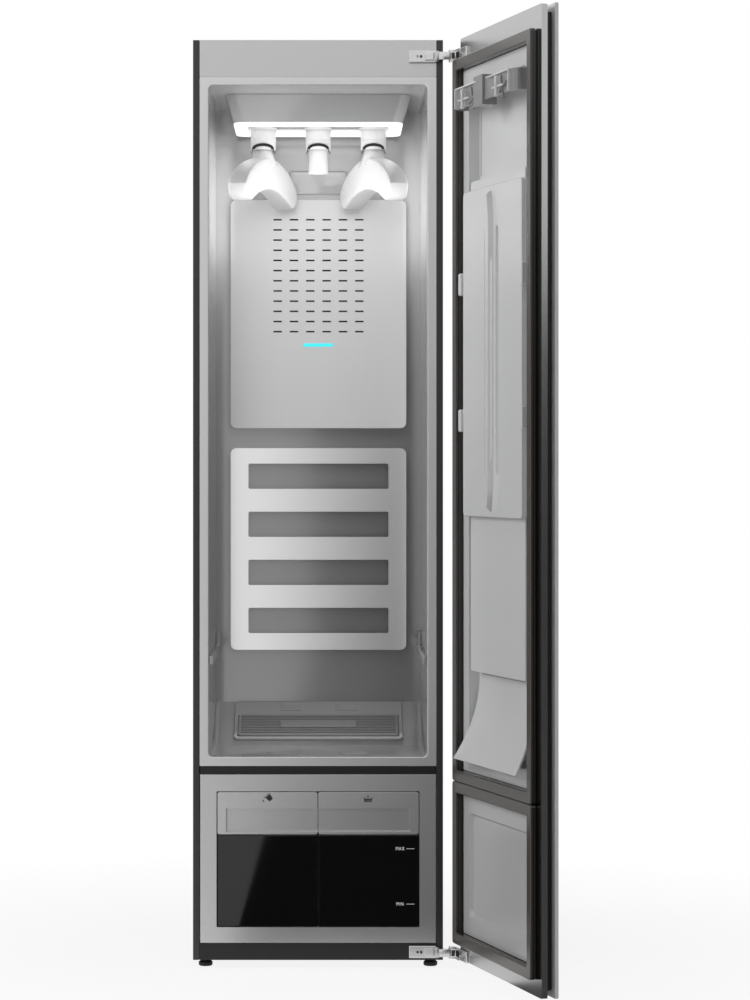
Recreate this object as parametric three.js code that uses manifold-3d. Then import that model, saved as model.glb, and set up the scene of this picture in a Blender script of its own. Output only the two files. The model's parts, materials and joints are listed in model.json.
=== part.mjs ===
// Tall clothes care steam cabinet with its door standing open.
// Millimetres, +Z up, -Y is the front. The origin is the centre of the base tray's underside.
import * as THREE from 'three';
import { mergeVertices } from 'three/addons/utils/BufferGeometryUtils.js';
import Module from 'manifold-3d';

const wasm = await Module();
wasm.setup();

// Cabinet
const WIDTH = 500;
const DEPTH = 550;
const HEIGHT = 1840;
const SEAT = 0.3;
const SHEET = 1.2;
const OVERRUN = 2;
const TRIM_DEPTH = 20;
const SIDE_LIP = 13;
const FRONT = -DEPTH / 2;
const BACK = DEPTH / 2;
const TRIM_BACK = FRONT + TRIM_DEPTH;
const INSIDE_X = WIDTH / 2 - SHEET - SEAT;
const TRIM_X = WIDTH / 2 - SIDE_LIP - SEAT;
const EDGE = 1.5;

// Front bands from the floor up
const PLINTH_TOP = 33;
const FASCIA_TOP = 372;
const LINER_BOTTOM = 388;
const LINER_TOP_DROP = 74;
const LINER_TOP = HEIGHT - LINER_TOP_DROP;

// Feet
const FOOT_HEIGHT = 16;
const FOOT_RADIUS = 14;
const FOOT_STEM_RADIUS = 6;
const FOOT_RIM = 2;
const FOOT_DISC_SHARE = 0.6;
const FOOT_STEM_RISE = 14;
const FOOT_INSET_X = 24;
const FOOT_INSET_Y = 35;
const FOOT_X = WIDTH / 2 - FOOT_INSET_X;
const FOOT_Y = BACK - FOOT_INSET_Y;
const CORNERS = { front_left: [-1, -1], front_right: [1, -1], rear_left: [-1, 1], rear_right: [1, 1] };

// Sheet trays
const BASE_RIM = 30;
const BASE_WALL = 2;
const COVER_RIM = 14;
const COVER_GAP = 2;
const VENT_COUNT = 9;
const VENT_LENGTH = 240;
const VENT_WIDTH = 6;
const VENT_PITCH = 16;
const VENT_LOW = 120;

// Inner liner
const LINER_WALL = 3;
const LINER_FLANGE = 6;
const CAVITY_INSET = 31;
const CAVITY_LOW = 406;
const CAVITY_TOP_DROP = 90;
const CAVITY_BACK_GAP = 95;
const SLOPE_RUN = 176;
const SLOPE_RISE = 77;
const CAVITY_CORNER = 9;
const CAVITY_X = WIDTH / 2 - CAVITY_INSET;
const CAVITY_HIGH = HEIGHT - CAVITY_TOP_DROP;
const CAVITY_TALL = CAVITY_HIGH - CAVITY_LOW;
const CAVITY_BACK = BACK - CAVITY_BACK_GAP;
const SLOPE_START = CAVITY_BACK - FRONT - SLOPE_RUN;

// Lamp housing, diffuser and air nozzles
const LAMP_DROP = 56;
const LAMP_SIDE_GAP = 27;
const LAMP_SIDE_TAPER = 18;
const LAMP_FRONT_GAP = 146;
const LAMP_REAR_GAP = 45;
const LAMP_TAPER = 14;
const LAMP_WALL = 3;
const LAMP_CORNER = 26;
const LAMP_TOP_X = CAVITY_X - LAMP_SIDE_GAP;
const LAMP_BOTTOM_X = LAMP_TOP_X - LAMP_SIDE_TAPER;
const LAMP_FRONT = FRONT + LAMP_FRONT_GAP;
const LAMP_REAR = CAVITY_BACK - LAMP_REAR_GAP;
const LAMP_TOP = CAVITY_HIGH - SEAT;
const LAMP_BOTTOM = CAVITY_HIGH - LAMP_DROP;
const DIFFUSER_THICK = 5;
const DIFFUSER_HOLE_SHARE = 0.844828;
const DIFFUSER_EDGE_Y = 58;
const DIFFUSER_HOLE_X = LAMP_BOTTOM_X * DIFFUSER_HOLE_SHARE;
const DIFFUSER_HOLE_Y = (LAMP_REAR - LAMP_FRONT) / 2 - DIFFUSER_EDGE_Y;
const DIFFUSER_CORNER = 14;
const NOZZLE_SIDE_GAP = 32;
const NOZZLE_PITCH = DIFFUSER_HOLE_X - NOZZLE_SIDE_GAP;
const NOZZLE_FORWARD = 7;
const NOZZLE_Y = (LAMP_FRONT + LAMP_REAR) / 2 - NOZZLE_FORWARD;
const NOZZLE_RADIUS = 26.5;
const NOZZLE_BORE = 20;
const NOZZLE_LENGTH = 39;
const NOZZLE_BORE_DEPTH = 20;
const NOZZLE_FLARE = 3;
const SEAL_HEIGHT = 4;
const SEAL_OUTER = 24;
const SEAL_INNER = 19.5;
const NOZZLE_TOP = LAMP_BOTTOM - SEAT;
const NOZZLE_BOTTOM = NOZZLE_TOP - NOZZLE_LENGTH;

// Hangers
const HANGER_REAR_GAP = 34;
const HANGER_HALF = CAVITY_BACK - NOZZLE_Y - HANGER_REAR_GAP;
const HANGER_DROP = 62;
const HANGER_BAND = 34;
const HANGER_THICK = 22;
const HANGER_BEVEL = 8;
const HANGER_NECK = 18;
const HANGER_NECK_LENGTH = 46;
const HANGER_COLLAR = 30;
const HANGER_COLLAR_DROP = 16;
const HANGER_YAW = THREE.MathUtils.degToRad(20);
const HANGER_CROWN_SHARE = 0.3;
const HANGER_BOW_SHARE = 0.16;
const HANGER_SIDES = 20;
const HANGER_TOP = NOZZLE_BOTTOM + NOZZLE_BORE_DEPTH - SEAT;
const HANGER_CROWN = HANGER_TOP - HANGER_NECK_LENGTH;
const OUTLET_RADIUS = 21;
const OUTLET_WALL = 2.5;
const OUTLET_DROP = 56;
const OUTLET_BORE = 60;
const OUTLET_LOW = NOZZLE_BOTTOM - OUTLET_DROP;

// Air duct panels on the back wall
const DUCT_SIDE_GAP = 31;
const DUCT_X = CAVITY_X - DUCT_SIDE_GAP;
const DUCT_DEPTH = 12;
const DUCT_WALL = 2.5;
const DUCT_CORNER = 12;
const UPPER_LOW_SHARE = 0.494048;
const UPPER_HIGH_SHARE = 0.857887;
const LOWER_LOW_SHARE = 0.140625;
const LOWER_HIGH_SHARE = 0.462054;
const UPPER_LOW = CAVITY_LOW + CAVITY_TALL * UPPER_LOW_SHARE;
const UPPER_HIGH = CAVITY_LOW + CAVITY_TALL * UPPER_HIGH_SHARE;
const LOWER_LOW = CAVITY_LOW + CAVITY_TALL * LOWER_LOW_SHARE;
const LOWER_HIGH = CAVITY_LOW + CAVITY_TALL * LOWER_HIGH_SHARE;
const SLOT_COLUMNS = 6;
const SLOT_ROWS = 12;
const SLOT_LENGTH = 18;
const SLOT_HEIGHT = 3.4;
const SLOT_PITCH_X_SHARE = 0.07;
const SLOT_PITCH_Z_SHARE = 0.0162202;
const SLOT_LOW_SHARE = 0.646577;
const SLOT_PITCH_X = WIDTH * SLOT_PITCH_X_SHARE;
const SLOT_PITCH_Z = CAVITY_TALL * SLOT_PITCH_Z_SHARE;
const SLOT_LOW = CAVITY_LOW + CAVITY_TALL * SLOT_LOW_SHARE;
const WINDOW_COUNT = 4;
const WINDOW_SIDE_GAP = 38;
const WINDOW_HEIGHT_SHARE = 0.0401786;
const WINDOW_PITCH_SHARE = 0.0766369;
const WINDOW_LOW_SHARE = 0.167411;
const WINDOW_X = DUCT_X - WINDOW_SIDE_GAP;
const WINDOW_HEIGHT = CAVITY_TALL * WINDOW_HEIGHT_SHARE;
const WINDOW_PITCH = CAVITY_TALL * WINDOW_PITCH_SHARE;
const WINDOW_LOW = CAVITY_LOW + CAVITY_TALL * WINDOW_LOW_SHARE;
const WINDOW_CORNER = 3;
const LIGHT_X = 32;
const LIGHT_HEIGHT = 7;
const LIGHT_Z_SHARE = 0.626488;
const LIGHT_Z = CAVITY_LOW + CAVITY_TALL * LIGHT_Z_SHARE;
const LIGHT_PROUD = 1;
const DUCT_BACK = CAVITY_BACK - SEAT;
const DUCT_FRONT = DUCT_BACK - DUCT_DEPTH;

// Shelf rails on the side walls
const RAIL_WIDTH = 8;
const RAIL_HEIGHT = 17;
const RAIL_Z = 590;
const RAIL_FRONT_INSET = 22;
const RAIL_BACK_INSET = 18;
const RAIL_POST = 15;
const RAIL_POST_HEIGHT = 45;
const RAIL_BEVEL = 1;

// Sloping floor panel and lint filter
const FLOOR_SIDE_GAP = 41;
const FLOOR_X = CAVITY_X - FLOOR_SIDE_GAP;
const FLOOR_LENGTH = 163;
const FLOOR_THICK = 6;
const FLOOR_START = 18;
const FLOOR_CORNER = 8;
const FILTER_SIDE_GAP = 9;
const FILTER_X = FLOOR_X - FILTER_SIDE_GAP;
const FILTER_LENGTH = 91;
const FILTER_START = 9;
const FILTER_GAP = 1;
const FILTER_THICK = 9;
const FILTER_CORNER = 3;
const GROOVE_COUNT = 11;
const GROOVE_WIDTH = 3;
const GROOVE_DEPTH = 2.5;
const GROOVE_EDGE = 6;
const GRIP_X = 81;
const GRIP_WIDTH = 28;
const GRIP_HEIGHT = 3;

// Lower compartment, its two water tanks and their fronts
const FASCIA_THICK = 10;
const TANK_SIDE_GAP = 34.7;
const TANK_X = TRIM_X - TANK_SIDE_GAP;
const TANK_LOW = 66.6;
const TANK_HIGH = 336.4;
const TANK_GAP = 1;
const TANK_SPLIT = 250;
const TANK_CORNER = 5;
const GRIP_LOW = 256;
const GRIP_HIGH = 303;
const GRIP_SIDE_GAP = 18;
const GRIP_SIDE = TANK_X - GRIP_SIDE_GAP;
const TANK_FRONT_THICK = 18;
const TANK_GRIP_DEPTH = 13;
const TANK_WINDOW_THICK = 6;
const TANK_WALL = 2.5;
const TANK_TOP = 240;
const BAY_WALL = 2;
const BAY_MARGIN = 4;
const BAY_DEPTH_SHARE = 0.436364;
const BAY_DEPTH = DEPTH * BAY_DEPTH_SHARE;
const TANK_REAR_GAP = 15;
const TANK_LENGTH = BAY_DEPTH - TANK_REAR_GAP;

// Door, its gaskets and liners
const OPEN_ANGLE = THREE.MathUtils.degToRad(105.2);
const PIVOT_OUT_X = 18;
const PIVOT_OUT_Y = 10;
const PIVOT_X = WIDTH / 2 + PIVOT_OUT_X;
const PIVOT_Y = FRONT - PIVOT_OUT_Y;
const DOOR_SIDE_GAP = 5;
const DOOR_X = WIDTH / 2 - DOOR_SIDE_GAP;
const DOOR_LOW = 7;
const DOOR_TOP_DROP = 2;
const DOOR_HIGH = HEIGHT - DOOR_TOP_DROP;
const DOOR_RIM = 11.6;
const DOOR_PAN = 12.6;
const DOOR_PAN_INSET = 12;
const DOOR_SKIN = 1.5;
const DOOR_WINDOW_SIDE = 41;
const DOOR_WINDOW_X = DOOR_X - DOOR_WINDOW_SIDE;
const DOOR_WINDOW_INSET = 58;
const DOOR_CORNER = 4;
const PANEL_THICK = 7.2;
const GASKET_HEIGHT = 20;
const GASKET_SIDE_GAP = 12;
const GASKET_X = WIDTH / 2 - GASKET_SIDE_GAP;
const GASKET_BAR = 22;
const GASKET_TOP_DROP = 47;
const GASKET_HIGH = HEIGHT - GASKET_TOP_DROP;
const GASKET_LOW = 41;
const GASKET_SPLIT = 363.5;
const GASKET_LIP = 3;
const GASKET_GROOVE = 5;
const GASKET_CORNER = 6;
const DOOR_LINER_THICK = 3;
const RECESS_SIDE_GAP = 36;
const RECESS_DEPTH = 21.5;
const RECESS_DRAFT = 6;
const RECESS_CORNER = 24;
const LOWER_RECESS_DEPTH = 8;
const DOOR_FACE = FRONT - GASKET_HEIGHT;
const DOOR_SHELL = DOOR_FACE - DOOR_RIM;
const DOOR_SKIN_FACE = DOOR_SHELL - DOOR_PAN;
const GASKET_INNER_X = GASKET_X - GASKET_BAR;
const RECESS_X = GASKET_INNER_X - RECESS_SIDE_GAP;
const UPPER_SPAN = GASKET_HIGH - GASKET_SPLIT;
const LINER_FACE = DOOR_FACE + SEAT + DOOR_LINER_THICK;

// Trouser press and trouser rail on the door
const PRESS_INSET = 2;
const PRESS_LOW_SHARE = 0.367611;
const PRESS_HIGH_SHARE = 0.812522;
const PRESS_X = RECESS_X - PRESS_INSET;
const PRESS_LOW = GASKET_SPLIT + UPPER_SPAN * PRESS_LOW_SHARE;
const PRESS_HIGH = GASKET_SPLIT + UPPER_SPAN * PRESS_HIGH_SHARE;
const PRESS_THICK = 12;
const PRESS_PROUD = 16.3;
const PRESS_CORNER = 10;
const SPINE_WIDTH = 28;
const SPINE_HEIGHT = 10;
const SPINE_POINT = 45;
const SPINE_INSET = 8;
const CHANNEL_X = 34;
const CHANNEL_WIDTH = 16;
const CHANNEL_DEPTH = 5;
const CHANNEL_INSET = 72;
const BOARD_INSET = 13;
const BOARD_LOW_SHARE = 0.155649;
const BOARD_HIGH_SHARE = 0.826513;
const BOARD_X = PRESS_X - BOARD_INSET;
const BOARD_LOW = GASKET_SPLIT + UPPER_SPAN * BOARD_LOW_SHARE;
const BOARD_HIGH = GASKET_SPLIT + UPPER_SPAN * BOARD_HIGH_SHARE;
const BOARD_WALL = 2.5;
const BOARD_CORNER = 6;
const CLIP_WIDTH = 14;
const CLIP_HEIGHT = 44;
const CLIP_LEVEL_SHARES = [0.499125, 0.686604];
const CLIP_LEVELS = CLIP_LEVEL_SHARES.map((share) => GASKET_SPLIT + UPPER_SPAN * share);
const CLIP_THICK = 4;
const CLIP_PROUD = 21.3;
const CLIP_GAP = 1.5;
const RAIL_BAR_SEAT = 3;
const RAIL_BAR_DROP = 106;
const RAIL_BAR_X = RECESS_X + RAIL_BAR_SEAT;
const RAIL_BAR_LOW = GASKET_HIGH - RAIL_BAR_DROP;
const RAIL_BAR_HEIGHT = 40;
const RAIL_BAR_PROUD = 32;
const RAIL_BAR_WALL = 3;
const RAIL_BAR_BEND = 16;
const RAIL_BLOCK = 24;
const RAIL_BLOCK_X = 20;
const RAIL_BLOCK_WIDE = 55;
const RAIL_BLOCK_TALL = 9;
const RAIL_BLOCK_PROUD = 5;
const HOOK_X = 90;
const HOOK_SHIFT = -25;
const HOOK_BAR = 4;
const HOOK_SPAN = 46;
const HOOK_THICK = 4;
const HOOK_TILT = THREE.MathUtils.degToRad(20);
const DEFLECTOR_INSET = 12;
const DEFLECTOR_SPREAD = 24;
const DEFLECTOR_LOW_SHARE = 0.033228;
const DEFLECTOR_HIGH_SHARE = 0.151451;
const DEFLECTOR_X = PRESS_X - DEFLECTOR_INSET;
const DEFLECTOR_LOW = GASKET_SPLIT + UPPER_SPAN * DEFLECTOR_LOW_SHARE;
const DEFLECTOR_HIGH = GASKET_SPLIT + UPPER_SPAN * DEFLECTOR_HIGH_SHARE;
const DEFLECTOR_PROUD = 30;
const DEFLECTOR_WALL = 3;
const DEFLECTOR_STEPS = 12;

// Door hinges
const HINGE_LOW = 17;
const HINGE_TOP_DROP = 34;
const HINGE_LEVELS = [HINGE_LOW, HEIGHT - HINGE_TOP_DROP];
const HINGE_HEIGHT = 24;
const HINGE_KNUCKLE = 12;
const HINGE_EYE = 7;
const HINGE_PIN = 3;
const HINGE_BASE_INSET = 68;
const HINGE_BASE_X = WIDTH / 2 - HINGE_BASE_INSET;
const HINGE_BASE_THICK = 8;
const HINGE_CAP = 4;
const HINGE_CAP_INSET = 14;
const HINGE_LEAF_INSET = 54;
const HINGE_CAP_X = WIDTH / 2 - HINGE_CAP_INSET;
const HINGE_LEAF_X = WIDTH / 2 - HINGE_LEAF_INSET;
const HINGE_LEAF_THICK = 4;
const HINGE_SCREW = 2.5;
const HINGE_SCREW_INSET = 44;
const HINGE_SCREW_X = WIDTH / 2 - HINGE_SCREW_INSET;

// Machine compartment
const FAN_X_SHARE = 0.04;
const FAN_Y_SHARE = 0.163636;
const FAN_RADIUS_SHARE = 0.116;
const FAN_X = WIDTH * FAN_X_SHARE;
const FAN_Y = DEPTH * FAN_Y_SHARE;
const FAN_RADIUS = WIDTH * FAN_RADIUS_SHARE;
const FAN_WIDTH = 46;
const FAN_BLADES = 16;
const FAN_BLADE_THICK = 1.6;
const FAN_BLADE_DEPTH = 17;
const FAN_LEAN = THREE.MathUtils.degToRad(35);
const FAN_PLATE = 2;
const FAN_HUB = 9;
const FAN_SHAFT = 4;
const SCROLL_CLEARANCE = 6;
const SCROLL_GROWTH_SHARE = 0.08;
const SCROLL_START = FAN_RADIUS + SCROLL_CLEARANCE;
const SCROLL_GROWTH = WIDTH * SCROLL_GROWTH_SHARE;
const SCROLL_WALL = 2.5;
const SCROLL_FIRST_SHARE = 0.125;
const SCROLL_SIDE_GAP = 5;
const SCROLL_STEPS = 24;
const SCROLL_OUTLET_SHARE = 0.12;
const SCROLL_OUTLET = WIDTH * SCROLL_OUTLET_SHARE;
const INLET_RIM = 18;
const MOTOR_RIM = 26;
const INLET_RADIUS = FAN_RADIUS - INLET_RIM;
const MOTOR_RADIUS = FAN_RADIUS - MOTOR_RIM;
const MOTOR_LENGTH = 42;
const COMPRESSOR_X_SHARE = 0.3;
const COMPRESSOR_REAR_GAP = 125;
const COMPRESSOR_RADIUS_SHARE = 0.116;
const COMPRESSOR_X = -WIDTH * COMPRESSOR_X_SHARE;
const COMPRESSOR_Y = BACK - COMPRESSOR_REAR_GAP;
const COMPRESSOR_RADIUS = WIDTH * COMPRESSOR_RADIUS_SHARE;
const COMPRESSOR_HEIGHT = 165;
const COMPRESSOR_FOOT = 8;
const COMPRESSOR_FOOT_RIM = 12;
const COMPRESSOR_FOOT_RADIUS = COMPRESSOR_RADIUS + COMPRESSOR_FOOT_RIM;
const STEAMER_X_SHARE = 0.37;
const STEAMER_Y_SHARE = 0.109091;
const STEAMER_LENGTH_SHARE = 0.18;
const STEAMER_X = WIDTH * STEAMER_X_SHARE;
const STEAMER_Y = DEPTH * STEAMER_Y_SHARE;
const STEAMER_LENGTH = WIDTH * STEAMER_LENGTH_SHARE;
const STEAMER_WIDTH = 90;
const STEAMER_HEIGHT = 130;
const STEAMER_CORNER = 12;
const STEAMER_PORT = 14;
const STEAMER_PORT_HEIGHT = 26;
const COIL_X_SHARE = 0.05;
const COIL_REAR_GAP = 60;
const COIL_LENGTH_SHARE = 0.34;
const COIL_X = WIDTH * COIL_X_SHARE;
const COIL_Y = BACK - COIL_REAR_GAP;
const COIL_LENGTH = WIDTH * COIL_LENGTH_SHARE;
const COIL_HEIGHT = 150;
const COIL_DEPTH = 44;
const COIL_FINS = 12;
const COIL_FIN = 2.5;
const COIL_CORE = 14;

// Finishes
const FINISHES = {
  dark_steel: { color: 0x2b2b2b, roughness: 0.5, metalness: 0.6 },
  grey_panel: { color: 0xa4a4a4, roughness: 0.4, metalness: 0.4 },
  liner_plastic: { color: 0xb4b4b6, roughness: 0.35, metalness: 0.1 },
  white_plastic: { color: 0xf0f0f0, roughness: 0.4, metalness: 0 },
  lamp: { color: 0xffffff, roughness: 0.3, metalness: 0 },
  black_rubber: { color: 0x202020, roughness: 0.8, metalness: 0 },
  gasket_rubber: { color: 0x38342f, roughness: 0.7, metalness: 0 },
  mirror_steel: { color: 0xd8d8d8, roughness: 0.15, metalness: 0.9 },
  cyan_light: { color: 0x19d8e6, roughness: 0.4, metalness: 0 },
  black_glass: { color: 0x080808, roughness: 0.08, metalness: 0 },
  clear_tank: { color: 0x9aa0a4, roughness: 0.2, metalness: 0 },
  bright_steel: { color: 0xc4c4c4, roughness: 0.25, metalness: 0.95 },
  front_board: { color: 0xe6e6e6, roughness: 0.35, metalness: 0 },
  machine_black: { color: 0x1a1a1a, roughness: 0.6, metalness: 0.3 },
  fin_aluminium: { color: 0xc8c8c8, roughness: 0.4, metalness: 0.8 },
};
const CORNER_STEPS = 3;
const ROUND_SIDES = 20;

const model = new THREE.Group();
const doorParts = new THREE.Group();

function place(name, finish, geometry, parent = model) {
  const mesh = new THREE.Mesh(geometry, new THREE.MeshStandardMaterial(FINISHES[finish]));
  mesh.name = name;
  parent.add(mesh);
  return mesh;
}

// Booleans on closed meshes
function bare(geometry) {
  const copy = geometry.clone();
  copy.deleteAttribute('normal');
  copy.deleteAttribute('uv');
  return mergeVertices(copy);
}

function toSolid(geometry) {
  const merged = bare(geometry);
  const mesh = new wasm.Mesh({
    numProp: 3,
    vertProperties: new Float32Array(merged.attributes.position.array),
    triVerts: new Uint32Array(merged.index.array),
  });
  return new wasm.Manifold(mesh);
}

function toGeometry(solid) {
  const mesh = solid.getMesh();
  const geometry = new THREE.BufferGeometry();
  geometry.setAttribute('position', new THREE.Float32BufferAttribute(mesh.vertProperties, 3));
  geometry.setIndex(new THREE.Uint32BufferAttribute(mesh.triVerts, 1));
  geometry.computeVertexNormals();
  return geometry;
}

function fuse(first, ...others) {
  return toGeometry(others.reduce((solid, g) => solid.add(toSolid(g)), toSolid(first)));
}

function cut(first, ...tools) {
  return toGeometry(tools.reduce((solid, g) => solid.subtract(toSolid(g)), toSolid(first)));
}

// Boxes are [low x, high x, low y, high y, low z, high z]
function block([x0, x1, y0, y1, z0, z1]) {
  const box = new THREE.BoxGeometry(x1 - x0, y1 - y0, z1 - z0);
  return box.translate((x0 + x1) / 2, (y0 + y1) / 2, (z0 + z1) / 2);
}

// A rounded rectangle a0..a1 by b0..b1 at level c, run anticlockwise in a and b
function ring(a0, a1, b0, b1, c, r) {
  const points = [];
  const corners = [[a1 - r, b1 - r], [a0 + r, b1 - r], [a0 + r, b0 + r], [a1 - r, b0 + r]];
  corners.forEach(([a, b], quarter) => {
    for (let i = 0; i <= CORNER_STEPS; i += 1) {
      const angle = (quarter + i / CORNER_STEPS) * Math.PI / 2;
      points.push([a + r * Math.cos(angle), b + r * Math.sin(angle), c]);
    }
  });
  return points;
}

const upright = ([a, b, c]) => [a, c, b];
const flat = ([a, b, c]) => [a, b, c];

function signedVolume(points, faces) {
  return faces.reduce((sum, [i, j, k]) => {
    const [a, b, c] = [points[i], points[j], points[k]];
    return sum + a[0] * (b[1] * c[2] - b[2] * c[1])
      - a[1] * (b[0] * c[2] - b[2] * c[0])
      + a[2] * (b[0] * c[1] - b[1] * c[0]);
  }, 0);
}

// Rings of equal count joined in order, closed by end faces or back onto the first ring
function loft(rings, turn = upright, closed = false) {
  const points = rings.flat().map(turn);
  const count = rings[0].length;
  const faces = [];
  const last = closed ? rings.length : rings.length - 1;
  for (let i = 0; i < last; i += 1) {
    const next = (i + 1) % rings.length;
    for (let j = 0; j < count; j += 1) {
      const k = (j + 1) % count;
      faces.push([i * count + j, i * count + k, next * count + k]);
      faces.push([i * count + j, next * count + k, next * count + j]);
    }
  }
  if (!closed) {
    const end = (rings.length - 1) * count;
    for (let j = 1; j < count - 1; j += 1) {
      faces.push([0, j + 1, j]);
      faces.push([end, end + j, end + j + 1]);
    }
  }
  const outward = signedVolume(points, faces) > 0;
  const index = faces.flatMap(([a, b, c]) => (outward ? [a, b, c] : [a, c, b]));
  const geometry = new THREE.BufferGeometry();
  geometry.setAttribute('position', new THREE.Float32BufferAttribute(points.flat(), 3));
  geometry.setIndex(index);
  return geometry;
}

// A tray whose closed face is at c0 and whose open side is at c1
function tray(a0, a1, b0, b1, c0, c1, wall, r, turn = upright) {
  const inward = Math.sign(c1 - c0) * wall;
  const inner = Math.max(r - wall, EDGE / 2);
  const walls = [a0 + wall, a1 - wall, b0 + wall, b1 - wall];
  return loft([
    ring(a0, a1, b0, b1, c0, r),
    ring(a0, a1, b0, b1, c1, r),
    ring(...walls, c1, inner),
    ring(...walls, c0 + inward, inner),
  ], turn);
}

// A plate with its front edge at c0 eased by EDGE
function plate(a0, a1, b0, b1, c0, c1, r, turn = upright) {
  const step = Math.sign(c1 - c0) * EDGE;
  return loft([
    ring(a0 + EDGE, a1 - EDGE, b0 + EDGE, b1 - EDGE, c0, Math.max(r - EDGE, EDGE / 2)),
    ring(a0, a1, b0, b1, c0 + step, r),
    ring(a0, a1, b0, b1, c1, r),
  ], turn);
}

function shapeOf(points) {
  return new THREE.Shape(points.map(([x, y]) => new THREE.Vector2(x, y)));
}

// An outline in x and y drawn up along z from low to high
function column(shape, low, high, steps = CORNER_STEPS) {
  const options = { depth: high - low, bevelEnabled: false, curveSegments: steps };
  return new THREE.ExtrudeGeometry(shape, options).translate(0, 0, low);
}

// An outline in y and z drawn along x from low to high
function profileAlongX(shape, low, high, bevel = 0) {
  const options = {
    depth: high - low - 2 * bevel,
    bevelEnabled: bevel > 0,
    bevelThickness: bevel,
    bevelSize: bevel,
    bevelOffset: -bevel,
    bevelSegments: 2,
    curveSegments: CORNER_STEPS * 2,
  };
  const geometry = new THREE.ExtrudeGeometry(shape, options);
  const turn = new THREE.Matrix4().makeBasis(
    new THREE.Vector3(0, 1, 0), new THREE.Vector3(0, 0, 1), new THREE.Vector3(1, 0, 0),
  );
  return geometry.applyMatrix4(turn).translate(low + bevel, 0, 0);
}

// A turned piece about the z axis from [radius, z] points
function turned(points, sides = ROUND_SIDES) {
  const path = points.map(([r, z]) => new THREE.Vector2(r, z));
  if (THREE.ShapeUtils.area(path) < 0) path.reverse();
  return new THREE.LatheGeometry(path, sides).rotateX(Math.PI / 2);
}

function rod(radius, low, high, sides = ROUND_SIDES) {
  return new THREE.CylinderGeometry(radius, radius, high - low, sides)
    .rotateX(Math.PI / 2).translate(0, 0, (low + high) / 2);
}

// Cabinet shell
function sidePanel(side) {
  const outer = WIDTH / 2;
  const section = [
    [outer - SIDE_LIP, FRONT], [outer, FRONT], [outer, BACK], [outer - SHEET, BACK],
    [outer - SHEET, TRIM_BACK], [outer - SIDE_LIP, TRIM_BACK],
  ].map(([x, y]) => [side * x, y]);
  return column(shapeOf(section), 0, HEIGHT);
}

function backPanel() {
  const front = BACK - COVER_RIM;
  const shell = tray(-INSIDE_X, INSIDE_X, COVER_GAP, HEIGHT - COVER_GAP, BACK, front, SHEET, EDGE);
  const vents = [];
  for (let i = 0; i < VENT_COUNT; i += 1) {
    const low = VENT_LOW + i * VENT_PITCH;
    const half = VENT_LENGTH / 2;
    const [inner, outer] = [BACK - SHEET - OVERRUN, BACK + OVERRUN];
    vents.push(block([-half, half, inner, outer, low, low + VENT_WIDTH]));
  }
  return cut(shell, ...vents);
}

// An open tray with a hole for the stem of each foot
function baseTray(span) {
  const shell = tray(...span, 0, BASE_RIM, BASE_WALL, EDGE, flat);
  const radius = FOOT_STEM_RADIUS + SEAT;
  const holes = Object.values(CORNERS).map(([x, y]) => (
    rod(radius, -OVERRUN, BASE_WALL + OVERRUN).translate(x * FOOT_X, y * FOOT_Y, 0)));
  return cut(shell, ...holes);
}

function addShell() {
  place('side_panel_left', 'dark_steel', sidePanel(-1));
  place('side_panel_right', 'dark_steel', sidePanel(1));
  place('back_panel', 'dark_steel', backPanel());
  const rear = BACK - COVER_RIM - SEAT;
  const near = TRIM_BACK + SEAT;
  const span = [-INSIDE_X, INSIDE_X, near, rear];
  const low = HEIGHT - COVER_RIM;
  place('top_panel', 'dark_steel', tray(...span, HEIGHT, low, SHEET, EDGE, flat));
  place('base_tray', 'dark_steel', baseTray(span));
  const trim = [-TRIM_X, TRIM_X];
  place('header_panel', 'grey_panel',
    tray(...trim, LINER_TOP + SEAT, HEIGHT, FRONT, TRIM_BACK, BASE_WALL, EDGE));
  place('divider_bar', 'dark_steel',
    plate(...trim, FASCIA_TOP, LINER_BOTTOM - SEAT, FRONT, TRIM_BACK, EDGE));
  place('plinth', 'dark_steel',
    tray(...trim, 0, PLINTH_TOP - SEAT, FRONT, TRIM_BACK, BASE_WALL, EDGE));
}

function foot() {
  const disc = FOOT_HEIGHT * FOOT_DISC_SHARE;
  return turned([
    [0, -FOOT_HEIGHT], [FOOT_RADIUS - FOOT_RIM, -FOOT_HEIGHT], [FOOT_RADIUS, FOOT_RIM - FOOT_HEIGHT],
    [FOOT_RADIUS, disc - FOOT_HEIGHT - FOOT_RIM], [FOOT_RADIUS - FOOT_RIM, disc - FOOT_HEIGHT],
    [FOOT_STEM_RADIUS, disc - FOOT_HEIGHT], [FOOT_STEM_RADIUS, FOOT_STEM_RISE], [0, FOOT_STEM_RISE],
  ]);
}

function addFeet() {
  Object.entries(CORNERS).forEach(([name, [x, y]]) => {
    place(`foot_${name}`, 'black_rubber', foot()).position.set(x * FOOT_X, y * FOOT_Y, 0);
  });
}

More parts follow.
